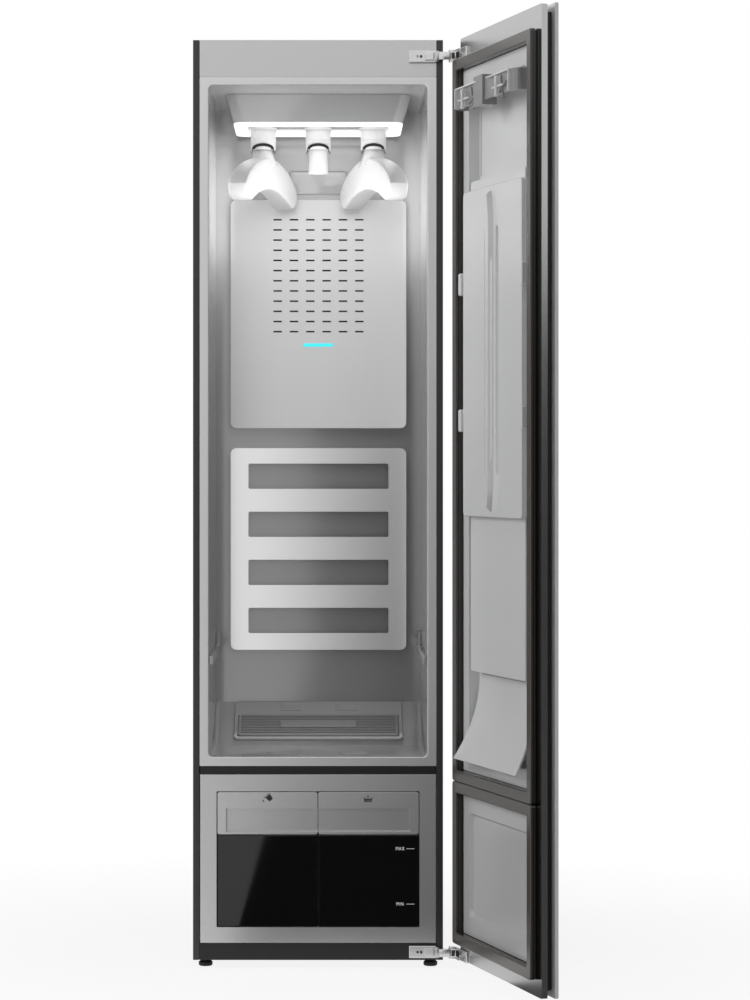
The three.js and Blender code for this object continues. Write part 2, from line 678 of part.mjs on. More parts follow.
// Cavity liner: the outer skin, the front flange, then the inner skin back to the rear wall
function liner() {
  const knee = FRONT + SLOPE_START;
  const raised = CAVITY_LOW + SLOPE_RISE;
  const outX = CAVITY_X + LINER_WALL;
  const outHigh = CAVITY_HIGH + LINER_WALL;
  const outR = CAVITY_CORNER + LINER_WALL;
  const flange = FRONT + LINER_FLANGE;
  const rim = [-TRIM_X, TRIM_X, LINER_BOTTOM, LINER_TOP];
  const mouth = CAVITY_CORNER + EDGE;
  return loft([
    ring(-outX, outX, raised - LINER_WALL, outHigh, CAVITY_BACK + LINER_WALL, outR),
    ring(-outX, outX, CAVITY_LOW - LINER_WALL, outHigh, knee, outR),
    ring(-outX, outX, CAVITY_LOW - LINER_WALL, outHigh, flange, outR),
    ring(...rim, flange, EDGE),
    ring(...rim, FRONT, EDGE),
    ring(-CAVITY_X - EDGE, CAVITY_X + EDGE, CAVITY_LOW - EDGE, CAVITY_HIGH + EDGE, FRONT, mouth),
    ring(-CAVITY_X, CAVITY_X, CAVITY_LOW, CAVITY_HIGH, FRONT + EDGE, CAVITY_CORNER),
    ring(-CAVITY_X, CAVITY_X, CAVITY_LOW, CAVITY_HIGH, knee, CAVITY_CORNER),
    ring(-CAVITY_X, CAVITY_X, raised, CAVITY_HIGH, CAVITY_BACK, CAVITY_CORNER),
  ]);
}

// Lamp housing hangs from the cavity ceiling, the diffuser under it
function lampHousing() {
  const [front, rear] = [LAMP_FRONT + LAMP_TAPER, LAMP_REAR - LAMP_TAPER];
  const topWalls = [LAMP_WALL - LAMP_TOP_X, LAMP_TOP_X - LAMP_WALL];
  const lowWalls = [LAMP_WALL - LAMP_BOTTOM_X, LAMP_BOTTOM_X - LAMP_WALL];
  const inner = LAMP_CORNER - LAMP_WALL;
  return loft([
    ring(-LAMP_BOTTOM_X, LAMP_BOTTOM_X, front, rear, LAMP_BOTTOM, LAMP_CORNER),
    ring(-LAMP_TOP_X, LAMP_TOP_X, LAMP_FRONT, LAMP_REAR, LAMP_TOP, LAMP_CORNER),
    ring(...topWalls, LAMP_FRONT + LAMP_WALL, LAMP_REAR - LAMP_WALL, LAMP_TOP, inner),
    ring(...lowWalls, front + LAMP_WALL, rear - LAMP_WALL, LAMP_BOTTOM + LAMP_WALL, inner),
  ], flat);
}

function diffuser() {
  const [front, rear] = [LAMP_FRONT + LAMP_TAPER, LAMP_REAR - LAMP_TAPER];
  const [top, low] = [LAMP_BOTTOM - SEAT, LAMP_BOTTOM - SEAT - DIFFUSER_THICK];
  const outer = [-LAMP_BOTTOM_X, LAMP_BOTTOM_X, front, rear];
  const hole = [-DIFFUSER_HOLE_X, DIFFUSER_HOLE_X, -DIFFUSER_HOLE_Y, DIFFUSER_HOLE_Y];
  const eased = outer.map((v, i) => v + (i % 2 ? -EDGE : EDGE));
  return loft([
    ring(...outer, top, LAMP_CORNER),
    ring(...outer, low + EDGE, LAMP_CORNER),
    ring(...eased, low, LAMP_CORNER - EDGE),
    ring(...hole, low, DIFFUSER_CORNER),
    ring(...hole, top, DIFFUSER_CORNER),
  ], flat, true);
}

function nozzle() {
  const bore = NOZZLE_BOTTOM + NOZZLE_BORE_DEPTH;
  return turned([
    [0, NOZZLE_TOP], [NOZZLE_RADIUS + NOZZLE_FLARE, NOZZLE_TOP],
    [NOZZLE_RADIUS, NOZZLE_TOP - NOZZLE_FLARE], [NOZZLE_RADIUS, NOZZLE_BOTTOM + EDGE],
    [NOZZLE_RADIUS - EDGE, NOZZLE_BOTTOM], [NOZZLE_BORE, NOZZLE_BOTTOM],
    [NOZZLE_BORE, bore], [0, bore],
  ]);
}

function nozzleSeal() {
  const top = NOZZLE_BOTTOM - SEAT;
  return turned([
    [SEAL_INNER, top], [SEAL_INNER, top - SEAL_HEIGHT], [SEAL_OUTER - EDGE, top - SEAL_HEIGHT],
    [SEAL_OUTER, top - SEAL_HEIGHT + EDGE], [SEAL_OUTER, top], [SEAL_INNER, top],
  ]);
}

// Air hanger: a round neck on a bowed shoulder beam that runs front to back
function hanger() {
  const tip = HANGER_CROWN - HANGER_DROP;
  const bow = HANGER_HALF * (1 - HANGER_BOW_SHARE);
  const rise = HANGER_CROWN - HANGER_DROP * HANGER_CROWN_SHARE;
  const shape = new THREE.Shape();
  shape.moveTo(-HANGER_HALF, tip);
  shape.quadraticCurveTo(-bow, rise, -HANGER_COLLAR, HANGER_CROWN);
  shape.lineTo(HANGER_COLLAR, HANGER_CROWN);
  shape.quadraticCurveTo(bow, rise, HANGER_HALF, tip);
  shape.quadraticCurveTo(HANGER_HALF, tip - HANGER_BAND, HANGER_HALF - HANGER_BAND, tip - HANGER_BAND);
  shape.quadraticCurveTo(0, HANGER_CROWN - HANGER_BAND, HANGER_BAND - HANGER_HALF, tip - HANGER_BAND);
  shape.quadraticCurveTo(-HANGER_HALF, tip - HANGER_BAND, -HANGER_HALF, tip);
  const beam = profileAlongX(shape, -HANGER_THICK, HANGER_THICK, HANGER_BEVEL);
  const neck = turned([
    [0, HANGER_TOP], [HANGER_NECK - EDGE, HANGER_TOP], [HANGER_NECK, HANGER_TOP - EDGE],
    [HANGER_NECK, HANGER_CROWN + HANGER_COLLAR_DROP],
    [HANGER_COLLAR, HANGER_CROWN - HANGER_COLLAR_DROP], [0, HANGER_CROWN - HANGER_COLLAR_DROP],
  ], HANGER_SIDES);
  return fuse(beam, neck);
}

// The middle neck carries no beam and opens downwards as a steam outlet
function outletTube() {
  const inner = OUTLET_RADIUS - OUTLET_WALL;
  return turned([
    [0, HANGER_TOP], [HANGER_NECK - EDGE, HANGER_TOP], [HANGER_NECK, HANGER_TOP - EDGE],
    [HANGER_NECK, NOZZLE_BOTTOM], [OUTLET_RADIUS, OUTLET_LOW + EDGE], [OUTLET_RADIUS - EDGE / 2, OUTLET_LOW],
    [inner, OUTLET_LOW], [inner - EDGE, OUTLET_LOW + OUTLET_BORE], [0, OUTLET_LOW + OUTLET_BORE],
  ], HANGER_SIDES);
}

function addCeiling() {
  place('lamp_housing', 'liner_plastic', lampHousing());
  place('lamp_diffuser', 'lamp', diffuser());
  ['left', 'middle', 'right'].forEach((name, i) => {
    const x = (i - 1) * NOZZLE_PITCH;
    place(`air_nozzle_${name}`, 'white_plastic', nozzle()).position.set(x, NOZZLE_Y, 0);
    place(`nozzle_seal_${name}`, 'black_rubber', nozzleSeal()).position.set(x, NOZZLE_Y, 0);
    const body = place(`hanger_${name}`, 'white_plastic', name === 'middle' ? outletTube() : hanger());
    body.position.set(x, NOZZLE_Y, 0);
    body.rotation.z = (i - 1) * HANGER_YAW;
  });
}

// Duct panels on the rear wall
function upperDuct() {
  const corner = DUCT_CORNER;
  const shell = tray(-DUCT_X, DUCT_X, UPPER_LOW, UPPER_HIGH, DUCT_FRONT, DUCT_BACK, DUCT_WALL, corner);
  const slots = [];
  const [front, rear] = [DUCT_FRONT - OVERRUN, DUCT_FRONT + DUCT_WALL + OVERRUN];
  for (let i = 0; i < SLOT_COLUMNS; i += 1) {
    const x = (i - (SLOT_COLUMNS - 1) / 2) * SLOT_PITCH_X;
    for (let j = 0; j < SLOT_ROWS; j += 1) {
      const z = SLOT_LOW + j * SLOT_PITCH_Z;
      slots.push(block([x - SLOT_LENGTH / 2, x + SLOT_LENGTH / 2, front, rear, z, z + SLOT_HEIGHT]));
    }
  }
  return cut(shell, ...slots);
}

function lowerDuct() {
  const corner = DUCT_CORNER;
  const shell = tray(-DUCT_X, DUCT_X, LOWER_LOW, LOWER_HIGH, DUCT_FRONT, DUCT_BACK, DUCT_WALL, corner);
  const windows = [];
  const [front, rear] = [DUCT_FRONT - OVERRUN, DUCT_FRONT + DUCT_WALL + OVERRUN];
  for (let i = 0; i < WINDOW_COUNT; i += 1) {
    const low = WINDOW_LOW + i * WINDOW_PITCH;
    const outline = ring(-WINDOW_X, WINDOW_X, low, low + WINDOW_HEIGHT, front, WINDOW_CORNER);
    windows.push(loft([outline, outline.map(([a, b]) => [a, b, rear])]));
  }
  return cut(shell, ...windows);
}

function addDucts() {
  place('duct_panel_upper', 'mirror_steel', upperDuct());
  place('duct_panel_lower', 'mirror_steel', lowerDuct());
  const rear = DUCT_FRONT - SEAT;
  const low = LIGHT_Z - LIGHT_HEIGHT / 2;
  const span = [-LIGHT_X, LIGHT_X, low, low + LIGHT_HEIGHT];
  place('indicator_light', 'cyan_light', plate(...span, rear - LIGHT_PROUD - EDGE, rear, EDGE));
}

function shelfRail(side) {
  const front = FRONT + RAIL_FRONT_INSET;
  const rear = DUCT_BACK - RAIL_BACK_INSET;
  const top = RAIL_Z + RAIL_HEIGHT;
  const shape = shapeOf([
    [front, RAIL_Z], [rear, RAIL_Z], [rear, RAIL_Z + RAIL_POST_HEIGHT],
    [rear - RAIL_POST, RAIL_Z + RAIL_POST_HEIGHT], [rear - RAIL_POST, top], [front, top],
  ]);
  const outer = CAVITY_X - SEAT;
  const xs = side > 0 ? [outer - RAIL_WIDTH, outer] : [-outer, RAIL_WIDTH - outer];
  return profileAlongX(shape, ...xs, RAIL_BEVEL);
}

// Floor panel and filter lie on the slope, drawn flat with y up the slope and z off it
function floorPanel() {
  const body = plate(-FLOOR_X, FLOOR_X, 0, FLOOR_LENGTH, FLOOR_THICK, 0, FLOOR_CORNER, flat);
  const far = FILTER_START + FILTER_LENGTH + FILTER_GAP;
  const wide = FILTER_X + FILTER_GAP;
  const bay = [-wide, wide, FILTER_START - FILTER_GAP, far, -OVERRUN, FLOOR_THICK + OVERRUN];
  return cut(body, block(bay));
}

function lintFilter() {
  const span = [-FILTER_X, FILTER_X, FILTER_START, FILTER_START + FILTER_LENGTH];
  const body = plate(...span, FILTER_THICK, 0, FILTER_CORNER, flat);
  const pitch = (FILTER_LENGTH - 2 * GROOVE_EDGE) / GROOVE_COUNT;
  const grooves = [];
  for (let i = 0; i < GROOVE_COUNT; i += 1) {
    const y = FILTER_START + GROOVE_EDGE + pitch * (i + 1 / 2);
    const [low, high] = [FILTER_THICK - GROOVE_DEPTH, FILTER_THICK + OVERRUN];
    const half = FILTER_X - GROOVE_EDGE;
    grooves.push(block([-half, half, y - GROOVE_WIDTH / 2, y + GROOVE_WIDTH / 2, low, high]));
  }
  const middle = FILTER_START + FILTER_LENGTH / 2;
  const [near, far] = [middle - GRIP_WIDTH / 2, middle + GRIP_WIDTH / 2];
  const base = FILTER_THICK - GROOVE_DEPTH - SEAT;
  const grip = [-GRIP_X, GRIP_X, near, far, FILTER_THICK + GRIP_HEIGHT, base];
  return fuse(cut(body, ...grooves), plate(...grip, GROOVE_WIDTH, flat));
}

function addFloor() {
  const slope = new THREE.Group();
  const run = SLOPE_RUN;
  const angle = Math.atan2(SLOPE_RISE, run);
  slope.position.set(0, FRONT + SLOPE_START, CAVITY_LOW);
  slope.rotation.x = angle;
  place('floor_panel', 'liner_plastic', floorPanel(), slope).position.set(0, FLOOR_START, SEAT);
  place('lint_filter', 'grey_panel', lintFilter(), slope).position.set(0, FLOOR_START, SEAT);
  model.add(slope);
  place('shelf_rail_left', 'liner_plastic', shelfRail(-1));
  place('shelf_rail_right', 'liner_plastic', shelfRail(1));
}

// Lower compartment
function fascia() {
  const low = PLINTH_TOP;
  const body = plate(-TRIM_X, TRIM_X, low, FASCIA_TOP - SEAT, FRONT, FRONT + FASCIA_THICK, EDGE);
  const half = TANK_X + TANK_GAP;
  const [bottom, top] = [TANK_LOW - TANK_GAP, TANK_HIGH + TANK_GAP];
  const front = FRONT - OVERRUN;
  const rear = FRONT + FASCIA_THICK + OVERRUN;
  const corner = EDGE + TANK_GAP / 2;
  return cut(body, loft([
    ring(-half, half, bottom, top, front, corner),
    ring(-half, half, bottom, top, rear, corner),
  ]));
}

function tankBay() {
  const front = FRONT + FASCIA_THICK + SEAT;
  const rear = front + BAY_DEPTH;
  const half = TANK_X + BAY_MARGIN;
  const [low, top] = [TANK_LOW - SEAT - BAY_WALL, TANK_HIGH + BAY_MARGIN];
  const shell = tray(-half, half, low, top, rear, front, BAY_WALL, EDGE);
  const wallFront = FRONT + TANK_FRONT_THICK + TANK_GAP;
  const wall = [-BAY_WALL / 2, BAY_WALL / 2, wallFront, rear - BAY_WALL / 2];
  return fuse(shell, block([...wall, low + BAY_WALL / 2, top - BAY_WALL / 2]));
}

// Each tank spans from its outer edge to the gap in the middle
function tankSpan(side, inset = 0, middle = TANK_GAP / 2) {
  const [inner, outer] = [middle, TANK_X - inset];
  return side > 0 ? [inner, outer] : [-outer, -inner];
}

function tankFront(side) {
  const low = TANK_SPLIT + SEAT;
  const body = plate(...tankSpan(side), low, TANK_HIGH, FRONT, FRONT + TANK_FRONT_THICK, TANK_CORNER);
  const grip = side > 0 ? [-OVERRUN, GRIP_SIDE] : [-GRIP_SIDE, OVERRUN];
  const depth = FRONT + TANK_GRIP_DEPTH;
  return cut(body, block([...grip, FRONT - OVERRUN, depth, GRIP_LOW, GRIP_HIGH]));
}

function tankWindow(side) {
  const [front, rear] = [FRONT, FRONT + TANK_WINDOW_THICK];
  return plate(...tankSpan(side), TANK_LOW, TANK_SPLIT, front, rear, EDGE);
}

function tankBody(side) {
  const front = FRONT + TANK_FRONT_THICK + SEAT;
  const span = tankSpan(side, TANK_WALL, BAY_WALL + SEAT);
  const rear = front + TANK_LENGTH;
  const trough = tray(...span, front, rear, TANK_LOW, TANK_TOP, TANK_WALL, TANK_CORNER, flat);
  const nose = [span[0] + TANK_CORNER, span[1] - TANK_CORNER];
  const near = FRONT + TANK_WINDOW_THICK + SEAT;
  const bracket = [...nose, near, front + TANK_WALL / 2, TANK_LOW + TANK_WALL, TANK_TOP - TANK_WALL];
  return fuse(trough, block(bracket));
}

function addLowerCompartment() {
  place('lower_fascia', 'grey_panel', fascia());
  place('tank_bay', 'liner_plastic', tankBay());
  [['supply', -1], ['drain', 1]].forEach(([name, side]) => {
    place(`${name}_tank_body`, 'clear_tank', tankBody(side));
    place(`${name}_tank_front`, 'grey_panel', tankFront(side));
    place(`${name}_tank_window`, 'black_glass', tankWindow(side));
  });
}

// Door, drawn closed in front of the cabinet and swung open about the hinge pins
function doorPan() {
  const shell = (inset, y, r = DOOR_CORNER) => ring(
    inset - DOOR_X, DOOR_X - inset, DOOR_LOW + inset, DOOR_HIGH - inset, y, r,
  );
  const windowRing = (y) => ring(
    -DOOR_WINDOW_X, DOOR_WINDOW_X, DOOR_LOW + DOOR_WINDOW_INSET, DOOR_HIGH - DOOR_WINDOW_INSET,
    y, DOOR_CORNER,
  );
  const inset = DOOR_PAN_INSET;
  const body = loft([
    shell(inset, DOOR_SKIN_FACE), shell(inset, DOOR_SHELL), shell(0, DOOR_SHELL),
    shell(0, DOOR_FACE), windowRing(DOOR_FACE), windowRing(DOOR_FACE - DOOR_SKIN),
    shell(DOOR_SKIN, DOOR_FACE - DOOR_SKIN), shell(DOOR_SKIN, DOOR_SHELL + DOOR_SKIN),
    shell(inset + DOOR_SKIN, DOOR_SHELL + DOOR_SKIN),
    shell(inset + DOOR_SKIN, DOOR_SKIN_FACE + DOOR_SKIN),
  ]);
  const half = DOOR_WINDOW_X + DOOR_SKIN;
  const [low, high] = [GASKET_SPLIT - GASKET_BAR - DOOR_SKIN, GASKET_SPLIT + GASKET_BAR + DOOR_SKIN];
  return fuse(body, block([-half, half, DOOR_FACE - DOOR_SKIN, DOOR_FACE, low, high]));
}

function gasket(low, high) {
  const base = DOOR_FACE + SEAT;
  const top = FRONT - SEAT;
  const step = GASKET_GROOVE;
  const rim = (inset, y) => ring(
    inset - GASKET_X, GASKET_X - inset, low + inset, high - inset, y,
    Math.max(GASKET_CORNER - inset, EDGE),
  );
  return loft([
    rim(0, base), rim(0, base + step), rim(GASKET_LIP, base + step + EDGE),
    rim(GASKET_LIP, base + step + GASKET_LIP), rim(0, base + step + GASKET_LIP + EDGE),
    rim(0, top - EDGE), rim(EDGE, top), rim(GASKET_BAR - EDGE, top),
    rim(GASKET_BAR, top - EDGE), rim(GASKET_BAR, base),
  ], upright, true);
}

function doorLiner(low, high, depth) {
  const half = GASKET_INNER_X - TANK_GAP;
  const edge = (inset, y, r) => ring(inset - half, half - inset, low + inset, high - inset, y, r);
  const [under, face] = [DOOR_FACE + SEAT, LINER_FACE];
  const lip = half - RECESS_X;
  const deep = lip + RECESS_DRAFT;
  const wall = DOOR_LINER_THICK;
  const corner = Math.min(RECESS_CORNER, depth + RECESS_DRAFT);
  return loft([
    edge(deep - wall, face - depth - wall, corner), edge(lip - wall, under, corner),
    edge(0, under, GASKET_LIP), edge(0, face, GASKET_LIP),
    edge(lip, face, corner), edge(deep, face - depth, corner),
  ]);
}

function pressClips() {
  return CLIP_LEVELS.flatMap((z) => [-1, 1].map((side) => {
    const [near, far] = [PRESS_X + CLIP_GAP, PRESS_X + CLIP_GAP + CLIP_WIDTH];
    const xs = side > 0 ? [near, far] : [-far, -near];
    const [low, high] = [z - CLIP_HEIGHT / 2, z + CLIP_HEIGHT / 2];
    const root = LINER_FACE - DOOR_LINER_THICK / 2;
    return plate(...xs, low, high, DOOR_FACE + CLIP_PROUD, root, CLIP_THICK);
  }));
}

function pressPlate() {
  const face = DOOR_FACE + PRESS_PROUD;
  const rear = face - PRESS_THICK;
  const body = plate(-PRESS_X, PRESS_X, PRESS_LOW, PRESS_HIGH, face, rear, PRESS_CORNER);
  const [low, high] = [PRESS_LOW + SPINE_INSET, PRESS_HIGH - SPINE_INSET];
  const spineRing = (half, ease, y) => [
    [half, low + SPINE_POINT + ease, y], [half, high - SPINE_POINT - ease, y],
    [0, high - ease * 2, y], [-half, high - SPINE_POINT - ease, y],
    [-half, low + SPINE_POINT + ease, y], [0, low + ease * 2, y],
  ];
  const spine = loft([
    spineRing(SPINE_WIDTH / 2, 0, face - EDGE),
    spineRing(SPINE_WIDTH / 2 - SPINE_HEIGHT / 2, SPINE_HEIGHT / 2, face + SPINE_HEIGHT),
  ]);
  const channels = [-1, 1].map((side) => {
    const x = side * CHANNEL_X;
    const half = CHANNEL_WIDTH / 2;
    const outline = (y, grow) => ring(
      x - half - grow, x + half + grow, low + CHANNEL_INSET - grow, high - CHANNEL_INSET + grow,
      y, half + grow,
    );
    return loft([outline(face - CHANNEL_DEPTH, -EDGE), outline(face + EDGE, EDGE)]);
  });
  return fuse(cut(body, ...channels), spine);
}

function pressBoard() {
  const rear = LINER_FACE - RECESS_DEPTH + SEAT;
  const front = DOOR_FACE + PRESS_PROUD - PRESS_THICK - SEAT;
  return tray(-BOARD_X, BOARD_X, BOARD_LOW, BOARD_HIGH, front, rear, BOARD_WALL, BOARD_CORNER);
}

// A bent rail standing off the liner, a block in its middle and two crossed hooks under it
function trouserRail() {
  const [root, front] = [LINER_FACE + SEAT, DOOR_FACE + RAIL_BAR_PROUD];
  const rail = (half, y, r) => {
    const shape = new THREE.Shape();
    shape.moveTo(-half, root);
    shape.lineTo(-half, y - r);
    shape.quadraticCurveTo(-half, y, r - half, y);
    shape.lineTo(half - r, y);
    shape.quadraticCurveTo(half, y, half, y - r);
    shape.lineTo(half, root);
    return shape;
  };
  const [low, high] = [RAIL_BAR_LOW, RAIL_BAR_LOW + RAIL_BAR_HEIGHT];
  const outer = column(rail(RAIL_BAR_X, front, RAIL_BAR_BEND), low, high);
  const wall = RAIL_BAR_WALL;
  const inner = rail(RAIL_BAR_X - wall, front - wall, RAIL_BAR_BEND - wall);
  inner.lineTo(RAIL_BAR_X - wall, root - OVERRUN);
  inner.lineTo(wall - RAIL_BAR_X, root - OVERRUN);
  const bent = cut(outer, column(inner, low - OVERRUN, high + OVERRUN));
  const blockX = [RAIL_BLOCK_X - RAIL_BLOCK_WIDE / 2, RAIL_BLOCK_X + RAIL_BLOCK_WIDE / 2];
  const blockY = [front - RAIL_BLOCK, front + RAIL_BLOCK_PROUD];
  const slider = block([...blockX, ...blockY, low - RAIL_BLOCK_TALL, high + RAIL_BLOCK_TALL]);
  const hooks = [-1, 1].flatMap((side) => [0, Math.PI / 2].map((turn) => {
    const bar = new THREE.BoxGeometry(HOOK_BAR, HOOK_THICK, HOOK_SPAN);
    bar.rotateY(turn + HOOK_TILT);
    return bar.translate(side * HOOK_X + HOOK_SHIFT, front + HOOK_THICK / 2 - EDGE, low + HOOK_SPAN / 4);
  }));
  return fuse(bent, slider, ...hooks);
}

// The deflector leaves the back of the recess and widens as it curls out over the front edge
function deflector() {
  const start = LINER_FACE - RECESS_DEPTH + SEAT;
  const end = DOOR_FACE + DEFLECTOR_PROUD;
  const curve = new THREE.QuadraticBezierCurve(
    new THREE.Vector2(start, DEFLECTOR_HIGH),
    new THREE.Vector2(start, (DEFLECTOR_HIGH + DEFLECTOR_LOW) / 2),
    new THREE.Vector2(end, DEFLECTOR_LOW),
  );
  const rings = [];
  for (let i = 0; i <= DEFLECTOR_STEPS; i += 1) {
    const share = i / DEFLECTOR_STEPS;
    const [at, along] = [curve.getPoint(share), curve.getTangent(share)];
    const half = DEFLECTOR_X + DEFLECTOR_SPREAD * share * share;
    const [y, z] = [at.x - along.y * DEFLECTOR_WALL, at.y + along.x * DEFLECTOR_WALL];
    rings.push([[-half, at.x, at.y], [half, at.x, at.y], [half, y, z], [-half, y, z]]);
  }
  return loft(rings, flat);
}

// Hinge halves: the base on the cabinet front with one eye, the arm on the door with two
function hingeBase(level) {
  const rear = FRONT - SEAT;
  const front = rear - HINGE_BASE_THICK;
  const [low, high] = [level - HINGE_HEIGHT / 2, level + HINGE_HEIGHT / 2];
  const body = plate(HINGE_BASE_X, HINGE_CAP_X, low, high, front, rear, EDGE);
  const knuckle = HINGE_KNUCKLE / 2;
  const rise = [level - knuckle, level + knuckle];
  const web = block([HINGE_CAP_X - EDGE, PIVOT_X, front, rear, ...rise]);
  const eye = rod(HINGE_EYE, ...rise).translate(PIVOT_X, PIVOT_Y, 0);
  const cap = plate(HINGE_SCREW_X + HINGE_EYE, HINGE_CAP_X - HINGE_CAP, low + HINGE_CAP,
    high - HINGE_CAP, front - HINGE_CAP, front + EDGE, EDGE);
  const bore = rod(HINGE_PIN + SEAT, low, high).translate(PIVOT_X, PIVOT_Y, 0);
  const screw = rod(HINGE_SCREW, -HINGE_HEIGHT, HINGE_HEIGHT).rotateX(Math.PI / 2);
  screw.translate(HINGE_SCREW_X - HINGE_EYE, front, level);
  return cut(fuse(body, web, eye, cap), bore, screw);
}

function hingeArm(level) {
  const near = DOOR_FACE + SEAT;
  const far = near + HINGE_LEAF_THICK;
  const [low, high] = [level - HINGE_HEIGHT / 2, level + HINGE_HEIGHT / 2];
  const inner = PIVOT_X - DOOR_PAN * 2;
  const leaf = plate(HINGE_LEAF_X, inner, low, high, far, near, EDGE);
  const zones = [[low, level - HINGE_KNUCKLE / 2 - SEAT], [level + HINGE_KNUCKLE / 2 + SEAT, high]];
  const ears = zones.flatMap((zone) => [
    rod(HINGE_EYE, ...zone).translate(PIVOT_X, PIVOT_Y, 0),
    block([inner - HINGE_EYE, PIVOT_X, near, far + HINGE_LEAF_THICK / 2, ...zone]),
  ]);
  const pin = rod(HINGE_PIN, low, high).translate(PIVOT_X, PIVOT_Y, 0);
  return fuse(leaf, ...ears, pin);
}

function addDoor() {
  const put = (name, finish, geometry) => place(name, finish, geometry, doorParts);
  put('door_pan', 'grey_panel', doorPan());
  const back = DOOR_SKIN_FACE - SEAT;
  const wide = WIDTH / 2;
  const front = plate(-wide, wide, DOOR_LOW, HEIGHT, back - PANEL_THICK, back, EDGE);
  put('door_front', 'front_board', front);
  const upperLow = GASKET_SPLIT + SEAT;
  put('gasket_upper', 'gasket_rubber', gasket(upperLow, GASKET_HIGH));
  put('gasket_lower', 'gasket_rubber', gasket(GASKET_LOW, GASKET_SPLIT - SEAT));
  const bar = GASKET_BAR + TANK_GAP;
  const upper = doorLiner(GASKET_SPLIT + bar, GASKET_HIGH - bar, RECESS_DEPTH);
  put('door_liner_upper', 'liner_plastic', fuse(upper, ...pressClips()));
  const lower = doorLiner(GASKET_LOW + bar, GASKET_SPLIT - bar, LOWER_RECESS_DEPTH);
  put('door_liner_lower', 'liner_plastic', lower);
  put('press_board', 'liner_plastic', pressBoard());
  put('press_plate', 'liner_plastic', pressPlate());
  put('trouser_rail', 'liner_plastic', trouserRail());
  put('deflector', 'liner_plastic', deflector());
  HINGE_LEVELS.forEach((level, i) => {
    const name = i ? 'top' : 'bottom';
    put(`hinge_arm_${name}`, 'bright_steel', hingeArm(level));
    place(`hinge_base_${name}`, 'bright_steel', hingeBase(level));
  });
  const swing = new THREE.Group();
  swing.position.set(PIVOT_X, PIVOT_Y, 0);
  swing.rotation.z = OPEN_ANGLE;
  doorParts.position.set(-PIVOT_X, -PIVOT_Y, 0);
  swing.add(doorParts);
  model.add(swing);
}

// Fan in its scroll, drawn with its axis along z and turned to face the front
function scrollOutline(offset, top) {
  const points = [];
  for (let i = 0; i <= SCROLL_STEPS; i += 1) {
    const share = SCROLL_FIRST_SHARE + (1 - SCROLL_FIRST_SHARE) * i / SCROLL_STEPS;
    const radius = SCROLL_START + SCROLL_GROWTH * share + offset;
    const angle = share * 2 * Math.PI;
    points.push([radius * Math.cos(angle), radius * Math.sin(angle)]);
  }
  const [tongue] = points[0];
  const outer = SCROLL_START + SCROLL_GROWTH + offset;
  return [...points, [outer, top], [tongue - 2 * offset, top]];
}

function fanHousing() {
  const top = SCROLL_START + SCROLL_OUTLET;
  const inside = FAN_WIDTH + SCROLL_SIDE_GAP;
  const rear = -SCROLL_SIDE_GAP;
  const outer = column(shapeOf(scrollOutline(SCROLL_WALL, top)), rear - SCROLL_WALL, inside + SCROLL_WALL);
  const hollow = column(shapeOf(scrollOutline(0, top + OVERRUN)), rear, inside);
  const inlet = rod(INLET_RADIUS, inside - OVERRUN, inside + SCROLL_WALL + OVERRUN);
  const hole = rod(FAN_SHAFT + TANK_GAP, rear - SCROLL_WALL - OVERRUN, rear + OVERRUN);
  return cut(outer, hollow, inlet, hole);
}

function fanRotor() {
  const shaftEnd = -SCROLL_SIDE_GAP - SCROLL_WALL;
  const blades = [];
  for (let i = 0; i < FAN_BLADES; i += 1) {
    const blade = new THREE.BoxGeometry(FAN_BLADE_DEPTH, FAN_BLADE_THICK, FAN_WIDTH - FAN_PLATE);
    blade.rotateZ(FAN_LEAN);
    blade.translate(FAN_RADIUS - FAN_BLADE_DEPTH / 2, 0, FAN_WIDTH / 2);
    blades.push(blade.rotateZ(i * 2 * Math.PI / FAN_BLADES));
  }
  const rimInner = FAN_RADIUS - FAN_BLADE_DEPTH / 2;
  const rim = turned([
    [rimInner, FAN_WIDTH - FAN_PLATE], [FAN_RADIUS, FAN_WIDTH - FAN_PLATE],
    [FAN_RADIUS, FAN_WIDTH], [rimInner, FAN_WIDTH], [rimInner, FAN_WIDTH - FAN_PLATE],
  ]);
  const hub = rod(FAN_HUB, 0, FAN_WIDTH / 2);
  return fuse(rod(FAN_RADIUS, 0, FAN_PLATE), hub, rod(FAN_SHAFT, shaftEnd, FAN_PLATE), rim, ...blades);
}

function fanMotor() {
  const front = -SCROLL_SIDE_GAP - SCROLL_WALL - SEAT;
  const rear = front - MOTOR_LENGTH;
  return turned([
    [0, rear], [MOTOR_RADIUS - SCROLL_SIDE_GAP, rear], [MOTOR_RADIUS, rear + SCROLL_SIDE_GAP],
    [MOTOR_RADIUS, front], [0, front],
  ]);
}

function compressor() {
  const low = BASE_WALL + SEAT;
  const high = low + COMPRESSOR_HEIGHT;
  const foot = low + COMPRESSOR_FOOT;
  const dome = COMPRESSOR_RADIUS / 2;
  return turned([
    [0, low], [COMPRESSOR_FOOT_RADIUS, low], [COMPRESSOR_FOOT_RADIUS, foot],
    [COMPRESSOR_RADIUS, foot], [COMPRESSOR_RADIUS, high - dome],
    [COMPRESSOR_RADIUS - dome / 3, high - dome / 3], [dome, high], [0, high],
  ]);
}

function steamer() {
  const low = BASE_WALL + SEAT;
  const high = low + STEAMER_HEIGHT;
  const [halfX, halfY] = [STEAMER_LENGTH / 2, STEAMER_WIDTH / 2];
  const tank = plate(-halfX, halfX, -halfY, halfY, high, low, STEAMER_CORNER, flat);
  const port = rod(STEAMER_PORT, high - EDGE, high + STEAMER_PORT_HEIGHT);
  const bore = rod(STEAMER_PORT - LAMP_WALL, high + EDGE, high + STEAMER_PORT_HEIGHT + OVERRUN);
  return cut(fuse(tank, port), bore);
}

